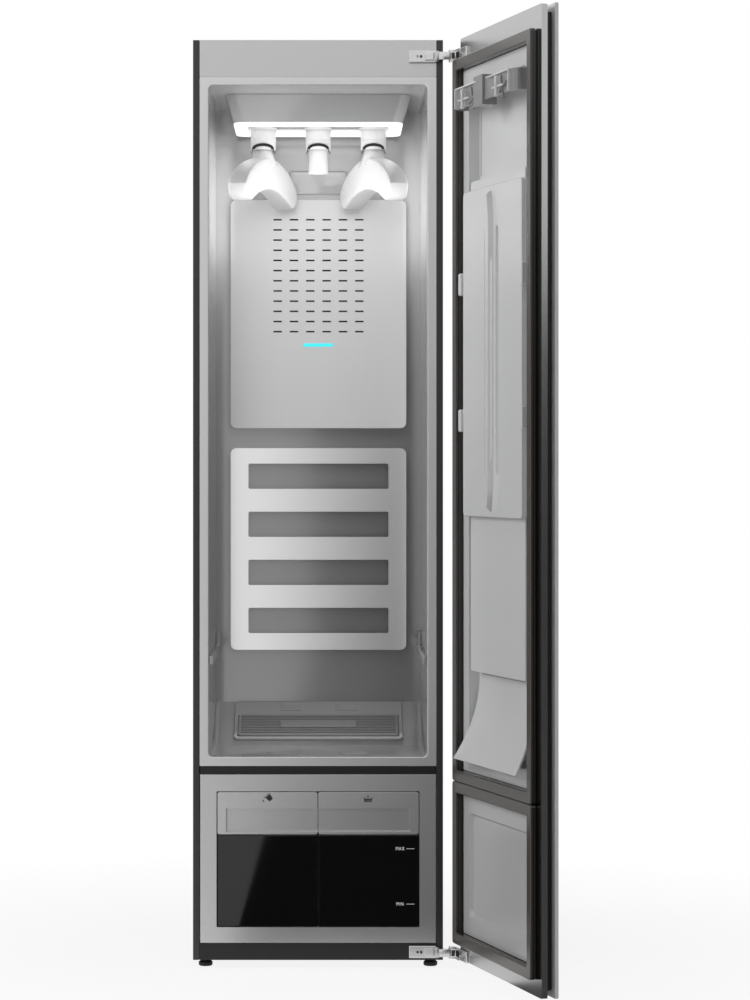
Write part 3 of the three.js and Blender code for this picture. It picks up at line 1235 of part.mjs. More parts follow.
function coil() {
  const low = BASE_WALL + SEAT;
  const half = COIL_LENGTH / 2;
  const pitch = (COIL_LENGTH - COIL_FIN) / (COIL_FINS - 1);
  const fins = [];
  for (let i = 0; i < COIL_FINS; i += 1) {
    const x = i * pitch - half;
    fins.push(block([x, x + COIL_FIN, -COIL_DEPTH / 2, COIL_DEPTH / 2, low, low + COIL_HEIGHT]));
  }
  const core = COIL_CORE / 2;
  const rise = COIL_HEIGHT / 4;
  const cores = [1, 2, 3].map((n) => block([
    EDGE - half, half - EDGE, -core, core, low + n * rise - core, low + n * rise + core,
  ]));
  return fuse(cores[0], ...fins, cores[1], cores[2]);
}

function addMachine() {
  const lowest = Math.min(...scrollOutline(SCROLL_WALL, SCROLL_START).map(([, y]) => y));
  const fan = new THREE.Group();
  fan.position.set(FAN_X, FAN_Y, BASE_WALL + SEAT - lowest);
  fan.rotation.x = Math.PI / 2;
  place('fan_housing', 'machine_black', fanHousing(), fan);
  place('fan_rotor', 'white_plastic', fanRotor(), fan);
  place('fan_motor', 'bright_steel', fanMotor(), fan);
  model.add(fan);
  place('compressor', 'machine_black', compressor()).position.set(COMPRESSOR_X, COMPRESSOR_Y, 0);
  place('steam_generator', 'fin_aluminium', steamer()).position.set(STEAMER_X, STEAMER_Y, 0);
  place('condenser_coil', 'fin_aluminium', coil()).position.set(COIL_X, COIL_Y, 0);
}

addShell();
addFeet();
place('inner_liner', 'liner_plastic', liner());
addCeiling();
addDucts();
addFloor();
addLowerCompartment();
addDoor();
addMachine();

export default model;
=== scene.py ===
# Looks of the clothes care steam cabinet: finishes, fine pieces, light and camera.
import json
import math

import bpy
from mathutils import Matrix, Vector


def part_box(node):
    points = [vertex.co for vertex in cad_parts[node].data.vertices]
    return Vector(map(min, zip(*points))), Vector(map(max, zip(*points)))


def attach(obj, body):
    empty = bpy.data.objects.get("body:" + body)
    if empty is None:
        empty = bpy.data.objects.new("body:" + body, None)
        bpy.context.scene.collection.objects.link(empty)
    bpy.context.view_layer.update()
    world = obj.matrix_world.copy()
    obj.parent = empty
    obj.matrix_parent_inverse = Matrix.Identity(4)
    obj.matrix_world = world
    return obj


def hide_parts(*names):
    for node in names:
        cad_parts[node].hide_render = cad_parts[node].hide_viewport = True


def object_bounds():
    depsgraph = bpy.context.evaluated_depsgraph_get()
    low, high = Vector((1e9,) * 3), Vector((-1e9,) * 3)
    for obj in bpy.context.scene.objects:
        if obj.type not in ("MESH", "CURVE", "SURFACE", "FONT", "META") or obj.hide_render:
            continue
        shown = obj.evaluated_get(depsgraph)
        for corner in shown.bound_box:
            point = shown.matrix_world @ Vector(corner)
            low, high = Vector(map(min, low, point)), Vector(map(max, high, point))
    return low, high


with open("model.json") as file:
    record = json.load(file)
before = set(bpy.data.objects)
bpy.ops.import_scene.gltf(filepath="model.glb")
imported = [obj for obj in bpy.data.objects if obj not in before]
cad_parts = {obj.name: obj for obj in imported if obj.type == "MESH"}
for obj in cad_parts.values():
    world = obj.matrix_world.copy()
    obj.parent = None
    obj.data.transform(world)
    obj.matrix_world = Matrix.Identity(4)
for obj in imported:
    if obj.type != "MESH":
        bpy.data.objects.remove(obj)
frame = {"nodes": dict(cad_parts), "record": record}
cad_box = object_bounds()
nodes = frame["nodes"]

# Sizes are in metres. A value in millimetres is multiplied by MM where it is used.

MM = 0.001
SIDES = ((-1, "left"), (1, "right"))


# Camera and world

CAMERA_DISTANCE = 6.2
CAMERA_HEIGHT = 0.976
CAMERA_X = 0.014
FRAME_HEIGHT = 2.0
SENSOR_MM = 24
SHIFT_X = 0.05
SHIFT_Y = -0.028
WORLD_TINT = (0.95, 0.97, 1, 1)
WORLD_STRENGTH = 0.16
WHITE = (1, 1, 1, 1)


def add_camera():
    """The camera stands square to the front, at the height and distance solved from the photograph."""
    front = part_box("inner_liner")[0].y
    data = bpy.data.cameras.new("camera")
    data.sensor_fit = "VERTICAL"
    data.sensor_height = SENSOR_MM
    data.lens = data.sensor_height * CAMERA_DISTANCE / FRAME_HEIGHT
    data.shift_x = SHIFT_X
    data.shift_y = SHIFT_Y
    camera = bpy.data.objects.new("camera", data)
    camera.location = (CAMERA_X, front - CAMERA_DISTANCE, CAMERA_HEIGHT)
    camera.rotation_euler = (math.pi / 2, 0, 0)
    bpy.context.collection.objects.link(camera)
    bpy.context.scene.camera = camera


def add_world():
    """Plain white to the camera and in reflections, and a dim cool light on everything."""
    world = bpy.data.worlds.new("studio")
    bpy.context.scene.world = world
    world.use_nodes = True
    tree = world.node_tree
    tree.nodes.clear()
    path = tree.nodes.new("ShaderNodeLightPath")
    seen = tree.nodes.new("ShaderNodeMath")
    seen.operation = "MAXIMUM"
    clear = tree.nodes.new("ShaderNodeMath")
    clear.operation = "MAXIMUM"
    shown = tree.nodes.new("ShaderNodeBackground")
    shown.inputs["Color"].default_value = WHITE
    lit = tree.nodes.new("ShaderNodeBackground")
    lit.inputs["Color"].default_value = WORLD_TINT
    lit.inputs["Strength"].default_value = WORLD_STRENGTH
    mix = tree.nodes.new("ShaderNodeMixShader")
    out = tree.nodes.new("ShaderNodeOutputWorld")
    link = tree.links.new
    link(path.outputs["Is Camera Ray"], seen.inputs[0])
    link(path.outputs["Is Transmission Ray"], seen.inputs[1])
    link(seen.outputs[0], clear.inputs[0])
    link(path.outputs["Is Glossy Ray"], clear.inputs[1])
    link(clear.outputs[0], mix.inputs["Fac"])
    link(lit.outputs[0], mix.inputs[1])
    link(shown.outputs[0], mix.inputs[2])
    link(mix.outputs[0], out.inputs["Surface"])


# Shared node groups

def socket(group, name, kind, way, value=None):
    made = group.interface.new_socket(name=name, in_out=way, socket_type=kind)
    if value is not None:
        made.default_value = value


def make_grain_group():
    """Cloudy tone, uneven gloss and a fine moulded texture."""
    group = bpy.data.node_groups.new("moulded_grain", "ShaderNodeTree")
    socket(group, "Tone A", "NodeSocketColor", "INPUT")
    socket(group, "Tone B", "NodeSocketColor", "INPUT")
    socket(group, "Cloud Scale", "NodeSocketFloat", "INPUT", 3.0)
    socket(group, "Grain Scale", "NodeSocketFloat", "INPUT", 900.0)
    socket(group, "Gloss Low", "NodeSocketFloat", "INPUT", 0.3)
    socket(group, "Gloss High", "NodeSocketFloat", "INPUT", 0.4)
    socket(group, "Color", "NodeSocketColor", "OUTPUT")
    socket(group, "Roughness", "NodeSocketFloat", "OUTPUT")
    socket(group, "Height", "NodeSocketFloat", "OUTPUT")
    add, link = group.nodes.new, group.links.new
    start, end = add("NodeGroupInput"), add("NodeGroupOutput")
    place = add("ShaderNodeTexCoord")
    cloud, fine = add("ShaderNodeTexNoise"), add("ShaderNodeTexNoise")
    cloud.inputs["Detail"].default_value = 4
    fine.inputs["Detail"].default_value = 2
    mix = add("ShaderNodeMix")
    mix.data_type = "RGBA"
    gloss = add("ShaderNodeMapRange")
    link(place.outputs["Object"], cloud.inputs["Vector"])
    link(place.outputs["Object"], fine.inputs["Vector"])
    link(start.outputs["Cloud Scale"], cloud.inputs["Scale"])
    link(start.outputs["Grain Scale"], fine.inputs["Scale"])
    link(cloud.outputs["Fac"], mix.inputs["Factor"])
    link(start.outputs["Tone A"], mix.inputs["A"])
    link(start.outputs["Tone B"], mix.inputs["B"])
    link(cloud.outputs["Fac"], gloss.inputs["Value"])
    link(start.outputs["Gloss Low"], gloss.inputs["To Min"])
    link(start.outputs["Gloss High"], gloss.inputs["To Max"])
    link(mix.outputs["Result"], end.inputs["Color"])
    link(gloss.outputs["Result"], end.inputs["Roughness"])
    link(fine.outputs["Fac"], end.inputs["Height"])
    return group


def make_brush_group():
    """Long thin streaks along one direction, for rolled and polished metal."""
    group = bpy.data.node_groups.new("brushed_streaks", "ShaderNodeTree")
    socket(group, "Tone A", "NodeSocketColor", "INPUT")
    socket(group, "Tone B", "NodeSocketColor", "INPUT")
    socket(group, "Stretch", "NodeSocketVector", "INPUT")
    socket(group, "Gloss Low", "NodeSocketFloat", "INPUT", 0.2)
    socket(group, "Gloss High", "NodeSocketFloat", "INPUT", 0.3)
    socket(group, "Color", "NodeSocketColor", "OUTPUT")
    socket(group, "Roughness", "NodeSocketFloat", "OUTPUT")
    socket(group, "Height", "NodeSocketFloat", "OUTPUT")
    add, link = group.nodes.new, group.links.new
    start, end = add("NodeGroupInput"), add("NodeGroupOutput")
    place = add("ShaderNodeTexCoord")
    stretch = add("ShaderNodeVectorMath")
    stretch.operation = "MULTIPLY"
    streak = add("ShaderNodeTexNoise")
    streak.inputs["Scale"].default_value = 1
    streak.inputs["Detail"].default_value = 3
    mix = add("ShaderNodeMix")
    mix.data_type = "RGBA"
    gloss = add("ShaderNodeMapRange")
    link(place.outputs["Object"], stretch.inputs[0])
    link(start.outputs["Stretch"], stretch.inputs[1])
    link(stretch.outputs["Vector"], streak.inputs["Vector"])
    link(streak.outputs["Fac"], mix.inputs["Factor"])
    link(start.outputs["Tone A"], mix.inputs["A"])
    link(start.outputs["Tone B"], mix.inputs["B"])
    link(streak.outputs["Fac"], gloss.inputs["Value"])
    link(start.outputs["Gloss Low"], gloss.inputs["To Min"])
    link(start.outputs["Gloss High"], gloss.inputs["To Max"])
    link(mix.outputs["Result"], end.inputs["Color"])
    link(gloss.outputs["Result"], end.inputs["Roughness"])
    link(streak.outputs["Fac"], end.inputs["Height"])
    return group


grain_group = make_grain_group()
brush_group = make_brush_group()


# Materials

COAT_ROUGHNESS = 0.06
BAND_BLUR = 0.002
GLOW_PATCH_SCALE = 20
GLOW_DIM_SHARE = 0.92


def grey(value, warm=0.0):
    return (value * (1 + warm), value, value * (1 - warm), 1)


def finish_material(name, group, values, metallic=0.0, bump=0.02, coat=0.0, bump_reach=0.0004):
    """A material whose colour, gloss and relief come from one of the shared groups."""
    material = bpy.data.materials.new(name)
    material.use_nodes = True
    tree = material.node_tree
    shader = tree.nodes["Principled BSDF"]
    shader.inputs["Metallic"].default_value = metallic
    shader.inputs["Coat Weight"].default_value = coat
    shader.inputs["Coat Roughness"].default_value = COAT_ROUGHNESS
    source = tree.nodes.new("ShaderNodeGroup")
    source.node_tree = group
    for key, value in values.items():
        source.inputs[key].default_value = value
    relief = tree.nodes.new("ShaderNodeBump")
    relief.inputs["Strength"].default_value = bump
    relief.inputs["Distance"].default_value = bump_reach
    tree.links.new(source.outputs["Color"], shader.inputs["Base Color"])
    tree.links.new(source.outputs["Roughness"], shader.inputs["Roughness"])
    tree.links.new(source.outputs["Height"], relief.inputs["Height"])
    tree.links.new(relief.outputs["Normal"], shader.inputs["Normal"])
    return material


def grain(name, tone, spread=0.04, gloss=(0.3, 0.4), warm=0.0, fine=900.0, **rest):
    """Plastic, rubber or satin sheet of one tone, cloudy by a spread, with gloss between two values."""
    values = {
        "Tone A": grey(tone * (1 - spread), warm), "Tone B": grey(tone * (1 + spread), warm),
        "Gloss Low": gloss[0], "Gloss High": gloss[1], "Grain Scale": fine,
    }
    return finish_material(name, grain_group, values, **rest)


def brushed(name, tone, stretch, gloss, spread=0.05, metallic=1.0, **rest):
    """Metal with streaks, finer along the axes where the stretch is larger."""
    values = {
        "Tone A": grey(tone * (1 - spread)), "Tone B": grey(tone * (1 + spread)),
        "Stretch": stretch, "Gloss Low": gloss[0], "Gloss High": gloss[1],
    }
    return finish_material(name, brush_group, values, metallic=metallic, **rest)


def tinted(material, tone):
    """Multiplies a material's colour by a tone that changes over the piece, to paint shade on it."""
    tree = material.node_tree
    shader = tree.nodes["Principled BSDF"]
    blend = tree.nodes.new("ShaderNodeMix")
    blend.data_type = "RGBA"
    blend.blend_type = "MULTIPLY"
    blend.inputs["Factor"].default_value = 1
    tree.links.new(shader.inputs["Base Color"].links[0].from_socket, blend.inputs["A"])
    tree.links.new(tone, blend.inputs["B"])
    tree.links.new(blend.outputs["Result"], shader.inputs["Base Color"])


def split_at(tree, depth, edge):
    """A value that is its To Min in front of a depth and its To Max behind it."""
    node = tree.nodes.new("ShaderNodeMapRange")
    node.inputs["From Min"].default_value = edge
    node.inputs["From Max"].default_value = edge + BAND_BLUR
    tree.links.new(depth, node.inputs["Value"])
    return node


def front_band(material, edge, metal, satin, shade):
    """Makes the faces in front of a depth more metallic, more satin and paler than the faces behind it; the
    darker faces behind are painted shade.
    """
    tree = material.node_tree
    shader = tree.nodes["Principled BSDF"]
    place = tree.nodes.new("ShaderNodeTexCoord")
    parts = tree.nodes.new("ShaderNodeSeparateXYZ")
    tree.links.new(place.outputs["Object"], parts.inputs["Vector"])
    depth = parts.outputs["Y"]
    share = split_at(tree, depth, edge)
    share.inputs["To Min"].default_value = metal[0]
    share.inputs["To Max"].default_value = metal[1]
    tree.links.new(share.outputs["Result"], shader.inputs["Metallic"])
    gloss = split_at(tree, depth, edge)
    gloss.inputs["To Min"].default_value = satin
    tree.links.new(shader.inputs["Roughness"].links[0].from_socket, gloss.inputs["To Max"])
    tree.links.new(gloss.outputs["Result"], shader.inputs["Roughness"])
    # Painted shade: the faces behind the depth, inside the cavity, get a darker colour.
    dim = split_at(tree, depth, edge)
    dim.inputs["To Min"].default_value = 1
    dim.inputs["To Max"].default_value = shade
    tinted(material, dim.outputs["Result"])


def glowing(name, colour, strength, tone):
    """A lit diffuser: moulded plastic that also gives light, a little unevenly; on the white print the same
    light is a painted glow.
    """
    material = grain(name, tone)
    tree = material.node_tree
    shader = tree.nodes["Principled BSDF"]
    place = tree.nodes.new("ShaderNodeTexCoord")
    noise = tree.nodes.new("ShaderNodeTexNoise")
    noise.inputs["Scale"].default_value = GLOW_PATCH_SCALE
    mix = tree.nodes.new("ShaderNodeMix")
    mix.data_type = "RGBA"
    mix.inputs["A"].default_value = (*[part * GLOW_DIM_SHARE for part in colour], 1)
    mix.inputs["B"].default_value = (*colour, 1)
    tree.links.new(place.outputs["Object"], noise.inputs["Vector"])
    tree.links.new(noise.outputs["Fac"], mix.inputs["Factor"])
    tree.links.new(mix.outputs["Result"], shader.inputs["Emission Color"])
    shader.inputs["Emission Strength"].default_value = strength
    return material


FINE_X = (2, 300, 300)
FINE_Z = (400, 400, 3)
materials = {
    "dark_steel": grain("dark_steel", 0.03, 0.12, (0.3, 0.4), metallic=0.6),
    "grey_panel": grain("grey_panel", 0.62, 0.012, (0.24, 0.28), fine=40, metallic=0.7, bump=0.01),
    "black_rubber": grain("black_rubber", 0.012, 0.2, (0.6, 0.75), bump=0.1),
    "liner_plastic": grain("liner_plastic", 0.7, 0.015, (0.06, 0.1), fine=40, bump=0.01),
    "lamp": glowing("lamp", (1, 1, 1), 0.9, 0.8),
    "white_plastic": grain("white_plastic", 0.72, 0.02, (0.25, 0.35)),
    "mirror_steel": grain("mirror_steel", 0.985, 0.01, (0.17, 0.2), fine=40, metallic=1.0, bump=0.01),
    "cyan_light": glowing("cyan_light", (0.02, 0.75, 0.85), 1.2, 0.1),
    "clear_tank": grain("clear_tank", 0.2, 0.05, (0.1, 0.2)),
    "black_glass": grain("black_glass", 0.002, 0.3, (0.03, 0.06), bump=0.0),
    "front_board": grain("front_board", 0.96, 0.02, (0.2, 0.3), coat=0.3),
    "gasket_rubber": grain("gasket_rubber", 0.066, 0.12, (0.22, 0.3), warm=0.12, bump=0.02),
    "bright_steel": brushed("bright_steel", 0.68, FINE_X, (0.22, 0.34), 0.08),
    "machine_black": grain("machine_black", 0.02, 0.1, (0.4, 0.5)),
    "fin_aluminium": brushed("fin_aluminium", 0.6, FINE_Z, (0.3, 0.4)),
}
LINER_MARGIN = 0.0005
LINER_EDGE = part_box("inner_liner")[0].y + LINER_MARGIN
LINER_METAL = (0.84, 0.17)
LINER_SATIN = 0.31
# Painted shade on the cavity's walls behind the front flange, as a share of their colour.
LINER_PAINTED_SHADE = 0.74
front_band(materials["liner_plastic"], LINER_EDGE, LINER_METAL, LINER_SATIN, LINER_PAINTED_SHADE)

door_plastic = grain("door_plastic", 0.76, 0.015, (0.2, 0.28), fine=60, metallic=0.05, bump=0.01)
door_steel = brushed("door_steel", 0.48, FINE_Z, (0.2, 0.28), 0.02, metallic=0.85, bump=0.01)
rail_white = grain("rail_white", 0.84, 0.02, (0.2, 0.3))
side_steel = grain("side_steel", 0.06, 0.1, (0.3, 0.4), metallic=0.65)
white_tab = grain("white_tab", 0.5, 0.03, (0.3, 0.4))
floor_mark = grain("floor_mark", 0.36, 0.03, (0.3, 0.4))
clip_wire = grain("dark_steel_wire", 0.04, 0.2, (0.3, 0.4), metallic=0.6)
joint_steel = brushed("joint_steel", 0.55, FINE_X, (0.25, 0.35), 0.1)
print_ink = grain("print_ink", 0.02, 0.2, (0.5, 0.6))
# The white print is given a painted glow: it gives light though it is no lamp.
white_ink_painted_glow = glowing("white_ink_painted_glow", (1, 1, 1), 0.3, 0.85)

NODE_FINISHES = {
    "side_panel_left": side_steel,
    "side_panel_right": side_steel,
    "plinth": grain("plinth_steel", 0.008, 0.1, (0.4, 0.5)),
    "duct_panel_upper": grain("duct_steel", 0.86, 0.01, (0.3, 0.36), fine=40, metallic=0.85, bump=0.01),
    "lint_filter": grain("filter_grey", 0.36, 0.02, (0.3, 0.4), metallic=0.1),
    "door_pan": door_steel,
    "door_liner_upper": door_plastic,
    # The lower door liner is a darker copy of the door's plastic: painted shade, as less light falls on the
    # lower door from above.
    "door_liner_lower": grain("lower_liner_painted_shade", 0.56, 0.02, (0.2, 0.3), fine=60),
    "press_board": door_plastic,
    "press_plate": door_plastic,
    "trouser_rail": grain("rail_grey", 0.32, 0.03, (0.2, 0.3), metallic=0.1),
    "deflector": door_plastic,
}


# CAD nodes keep their shapes and get clean shading and finishes

SHARP = math.radians(32)
WELD_GAP = 0.00001
EASED_MM = {
    "side_panel_left": 0.8, "side_panel_right": 0.8, "header_panel": 0.6, "divider_bar": 0.6, "plinth": 0.6,
    "door_front": 0.8, "supply_tank_window": 0.4, "drain_tank_window": 0.4, "shelf_rail_left": 0.6,
    "shelf_rail_right": 0.6, "lamp_housing": 1.0,
}


def dress_nodes():
    """Gives each CAD node its finish, eased edges where its form is plain, and clean shading."""
    for row in frame["record"]["subparts"]:
        name = row["node"]
        node = nodes[name]
        node.data.materials.clear()
        node.data.materials.append(NODE_FINISHES.get(name, materials[row["material_slot"]]))
        node.data.polygons.foreach_set("use_smooth", [True] * len(node.data.polygons))
        node.modifiers.new("weld", "WELD").merge_threshold = WELD_GAP
        if name in EASED_MM:
            bevel = node.modifiers.new("eased_edges", "BEVEL")
            bevel.width = EASED_MM[name] * MM
            bevel.segments = 2
            bevel.limit_method = "ANGLE"
            bevel.angle_limit = SHARP
        split = node.modifiers.new("crisp_edges", "EDGE_SPLIT")
        split.split_angle = SHARP
        split.use_edge_sharp = False
        node.modifiers.new("even_normals", "WEIGHTED_NORMAL").keep_sharp = True


# Modelling helpers

ROUND_SIDES = 48
PRINT_RISE = 0.0002
PRINT_SPACING = 1.14


def deselect():
    bpy.ops.object.select_all(action="DESELECT")


def pick(obj):
    """Makes one object the only selected and the active one."""
    deselect()
    obj.select_set(True)
    bpy.context.view_layer.objects.active = obj


def finish_piece(obj, name, material, body):
    """Names a new piece, puts its place in its mesh and makes it ride on its body."""
    obj.name = name
    obj.data.name = name
    pick(obj)
    bpy.ops.object.transform_apply(location=True, rotation=True, scale=True)
    obj.data.materials.clear()
    obj.data.materials.append(material)
    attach(obj, body)


def turned(profile, centre, sides=ROUND_SIDES):
    """A turned piece: a filled circle drawn up through [radius, height] points in millimetres."""
    deselect()
    (r, z), rest = profile[0], profile[1:]
    x, y = centre
    bpy.ops.mesh.primitive_circle_add(
        vertices=sides, radius=r * MM, fill_type="NGON", location=(x, y, z * MM))
    obj = bpy.context.object
    bpy.ops.object.transform_apply(location=True, rotation=False, scale=False)
    bpy.ops.object.mode_set(mode="EDIT")
    bpy.ops.mesh.select_mode(type="FACE")
    bpy.ops.mesh.select_all(action="SELECT")
    for r_next, z_next in rest:
        bpy.ops.mesh.extrude_region_move(
            TRANSFORM_OT_translate={"value": (0, 0, (z_next - z) * MM)})
        k = r_next / r
        bpy.ops.transform.resize(value=(k, k, 1), center_override=(x, y, z_next * MM))
        r, z = r_next, z_next
    bpy.ops.mesh.select_all(action="SELECT")
    bpy.ops.mesh.normals_make_consistent(inside=False)
    bpy.ops.object.mode_set(mode="OBJECT")
    bpy.ops.object.shade_smooth_by_angle(angle=SHARP)
    return obj


def plain_box(low, high):
    """A sharp box between two corners in metres, to be worked on or to cut with."""
    deselect()
    low, high = Vector(low), Vector(high)
    bpy.ops.mesh.primitive_cube_add(size=1, location=(low + high) / 2)
    obj = bpy.context.object
    obj.scale = high - low
    bpy.ops.object.transform_apply(location=True, rotation=True, scale=True)
    return obj


def eased_box(low, high, ease, segments=2):
    """A box with rounded edges between two corners in metres."""
    obj = plain_box(low, high)
    bpy.ops.object.mode_set(mode="EDIT")
    bpy.ops.mesh.select_all(action="SELECT")
    bpy.ops.mesh.bevel(offset=ease, segments=segments, affect="EDGES")
    bpy.ops.object.mode_set(mode="OBJECT")
    bpy.ops.object.shade_smooth_by_angle(angle=SHARP)
    return obj


def cut_away(obj, cutter):
    """Takes a cutter's space out of a piece and removes the cutter."""
    cut = obj.modifiers.new("cut", "BOOLEAN")
    cut.operation = "DIFFERENCE"
    cut.solver = "EXACT"
    cut.object = cutter
    bpy.context.view_layer.objects.active = obj
    bpy.ops.object.modifier_apply(modifier="cut")
    bpy.data.objects.remove(cutter, do_unlink=True)


def copy_of(node):
    """A merged copy of a CAD node's mesh, to be worked on."""
    obj = nodes[node].copy()
    obj.data = nodes[node].data.copy()
    obj.parent = None
    obj.modifiers.clear()
    bpy.context.collection.objects.link(obj)
    pick(obj)
    bpy.ops.object.mode_set(mode="EDIT")
    bpy.ops.mesh.select_all(action="SELECT")
    bpy.ops.mesh.remove_doubles(threshold=WELD_GAP)
    bpy.ops.object.mode_set(mode="OBJECT")
    if obj.data.has_custom_normals:
        bpy.ops.mesh.customdata_custom_splitnormals_clear()
    return obj


def wire(name, points, radius):
    """A round wire that curves along [x, y, z] points in metres, made a mesh."""
    curve = bpy.data.curves.new(name, "CURVE")
    curve.dimensions = "3D"
    curve.bevel_depth = radius
    curve.use_fill_caps = True
    curve.resolution_u = 6
    spline = curve.splines.new("NURBS")
    spline.points.add(len(points) - 1)
    spline.use_endpoint_u = True
    for target, point in zip(spline.points, points):
        target.co = (*point, 1)
    obj = bpy.data.objects.new(name, curve)
    bpy.context.collection.objects.link(obj)
    pick(obj)
    bpy.ops.object.convert(target="MESH")
    bpy.ops.object.shade_smooth()
    return bpy.context.object


def words(text, size, centre):
    """Raised print facing the front, made a mesh before it is placed."""
    deselect()
    bpy.ops.object.text_add(location=(0, 0, 0))
    obj = bpy.context.object
    obj.data.body = text
    obj.data.size = size
    obj.data.align_x = "CENTER"
    obj.data.align_y = "CENTER"
    obj.data.extrude = PRINT_RISE
    obj.data.space_character = PRINT_SPACING
    bpy.ops.object.convert(target="MESH")
    obj = bpy.context.object
    obj.rotation_euler = (math.pi / 2, 0, 0)
    obj.location = centre
    return obj


def round_of(node):
    """The middle of a round node in metres, and its radius, top and foot in millimetres."""
    low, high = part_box(node)
    return (low + high) / 2, (high.x - low.x) / 2 / MM, high.z / MM, low.z / MM


# Fine pieces in the ceiling, in millimetres

NECKS = ("left", "middle", "right")
NECK_SIDES = 64
NOZZLE_WALL = 3
NOZZLE_SKIRT = 7
NOZZLE_GROOVE = 13
NOZZLE_BORE = 20
SEAL_WIRE = 3.1
SEAL_HALF_WIDTH = 20
SEAL_RISE = 8
SEAL_DROP = 6
SEAL_STEPS = 12
SEAL_CLEARANCE = 0.2
CLIP_WIRE = 0.8
CLIP_REACH = 16
CLIP_BENDS = ((19.5, 1), (23.5, -1), (20.5, -4.5), (23, -7), (25.5, -10.5))
OUTLET_LIP = 0.6


def add_nozzles():
    """Each air nozzle as a smooth turned shell: a flange at the ceiling, a grooved neck and a skirt."""
    for name in NECKS:
        node = f"air_nozzle_{name}"
        mid, wide, top, bottom = round_of(node)
        r, skirt, groove = wide - NOZZLE_WALL, bottom - NOZZLE_SKIRT, bottom + NOZZLE_GROOVE
        shell = turned([
            (wide, top), (wide, top - 1.2), (wide - 0.8, top - 2.4), (r + 0.3, top - 4), (r, top - 7),
            (r, groove + 1), (r - 0.5, groove + 0.4), (r - 0.5, groove - 0.4), (r, groove - 1),
            (r, skirt + 2), (r - 0.7, skirt + 0.6), (r - 2, skirt), (r - 3.5, skirt),
            (NOZZLE_BORE, bottom + 1), (NOZZLE_BORE - 0.3, bottom + 19.5),
        ], (mid.x, mid.y), NECK_SIDES)
        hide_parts(node)
        finish_piece(shell, f"nozzle_shell_{name}", materials["white_plastic"], "cabinet")


def add_seals():
    """A dark seal arching over the neck at the front of each nozzle, with a bent clip at each foot."""
    for name in NECKS:
        mid, wide, _, bottom = round_of(f"air_nozzle_{name}")
        r, foot = wide - NOZZLE_WALL, bottom - SEAL_DROP
        arch = []
        for i in range(SEAL_STEPS + 1):
            angle = math.pi * (i / SEAL_STEPS - 0.5)
            x = SEAL_HALF_WIDTH * math.sin(angle)
            z = foot + SEAL_RISE * math.cos(angle)
            y = -math.sqrt(r * r - x * x) - SEAL_CLEARANCE
            arch.append((mid.x + x * MM, mid.y + y * MM, z * MM))
        seal = wire(f"seal_arch_{name}", arch, SEAL_WIRE * MM)
        finish_piece(seal, f"seal_arch_{name}", materials["black_rubber"], "cabinet")
        for side, word in ((-1, "a"), (1, "b")):
            points = [(mid.x + side * out * MM, mid.y - CLIP_REACH * MM, (foot + drop) * MM)
                      for out, drop in CLIP_BENDS]
            clip = wire(f"neck_clip_{name}_{word}", points, CLIP_WIRE * MM)
            finish_piece(clip, f"neck_clip_{name}_{word}", clip_wire, "cabinet")


def add_outlet():
    """The middle neck as a smooth tube that widens to its open lower end."""
    node = "hanger_middle"
    mid, r, top, bottom = round_of(node)
    tube = turned([
        (r - 4, bottom + 50), (r - 2.6, bottom + 0.4), (r - 2.2, bottom), (r - OUTLET_LIP, bottom),
        (r, bottom + 0.8), (r - 0.3, bottom + 6), (r - 3, top - 20), (r - 3, top - 1.5), (r - 4.5, top),
    ], (mid.x, mid.y), NECK_SIDES)
    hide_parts(node)
    finish_piece(tube, "outlet_tube", materials["white_plastic"], "hanger_middle")


# Fine pieces on the rear wall

COVER_HALF = 0.061
COVER_TALL = 0.05
COVER_DEEP = 0.007
COVER_EASE = 0.0035
COVER_ABOVE_DUCT = 0.012
COVER_GAP = 0.0003
SHADE_SHEET_HALF = 0.105
SHADE_SHEET_TOP = 0.025
SHADE_SHEET_FOOT = 0.305
SHADE_SHEET_NEAR = 0.0016
SHADE_SHEET_FAR = 0.0004
SHADE_SHEET_EASE = 0.0003


def add_duct_cover():
    """A shallow raised cover above the slotted duct panel."""
    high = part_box("duct_panel_upper")[1]
    wall = high.y + COVER_GAP
    foot = high.z + COVER_ABOVE_DUCT
    cover = eased_box(
        (-COVER_HALF, wall - COVER_DEEP, foot), (COVER_HALF, wall, foot + COVER_TALL), COVER_EASE, 4)
    finish_piece(cover, "duct_cover", materials["liner_plastic"], "cabinet")


def add_slot_shade_sheet():
    """A thin dark sheet inside the slotted duct panel, painted shade so that its slots look into the dark."""
    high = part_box("duct_panel_upper")[1]
    shade_sheet = eased_box(
        (-SHADE_SHEET_HALF, high.y - SHADE_SHEET_NEAR, high.z - SHADE_SHEET_FOOT),
        (SHADE_SHEET_HALF, high.y - SHADE_SHEET_FAR, high.z - SHADE_SHEET_TOP), SHADE_SHEET_EASE, 1)
    finish_piece(shade_sheet, "slot_shade_sheet", materials["machine_black"], "cabinet")


# Fine pieces on the cavity floor, in millimetres

SLOPE_FOOT = (0, 4, 406)
SLOPE_RUN = 176
SLOPE_RISE = 77
TAB_X = 58
TAB_HALF = 21.5
TAB_FOOT = 139
TAB_HEAD = 163
TAB_SEAT = 6.3
TAB_THICK = 1.5
TAB_EASE = 0.6
MARK_X = 73
MARK_Y = -188
MARK_RADIUS = 30
MARK_SIDE = 0.5
MARK_THICK = 0.8
MARK_STRETCH = 1.05


def set_on_slope(obj):
    """Turns a piece that was made at the origin, whose y runs up the slope, on to the sloping floor."""
    pick(obj)
    bpy.ops.object.transform_apply(location=True, rotation=False, scale=True)
    obj.rotation_euler = (math.atan2(SLOPE_RISE, SLOPE_RUN), 0, 0)
    obj.location = Vector(SLOPE_FOOT) * MM


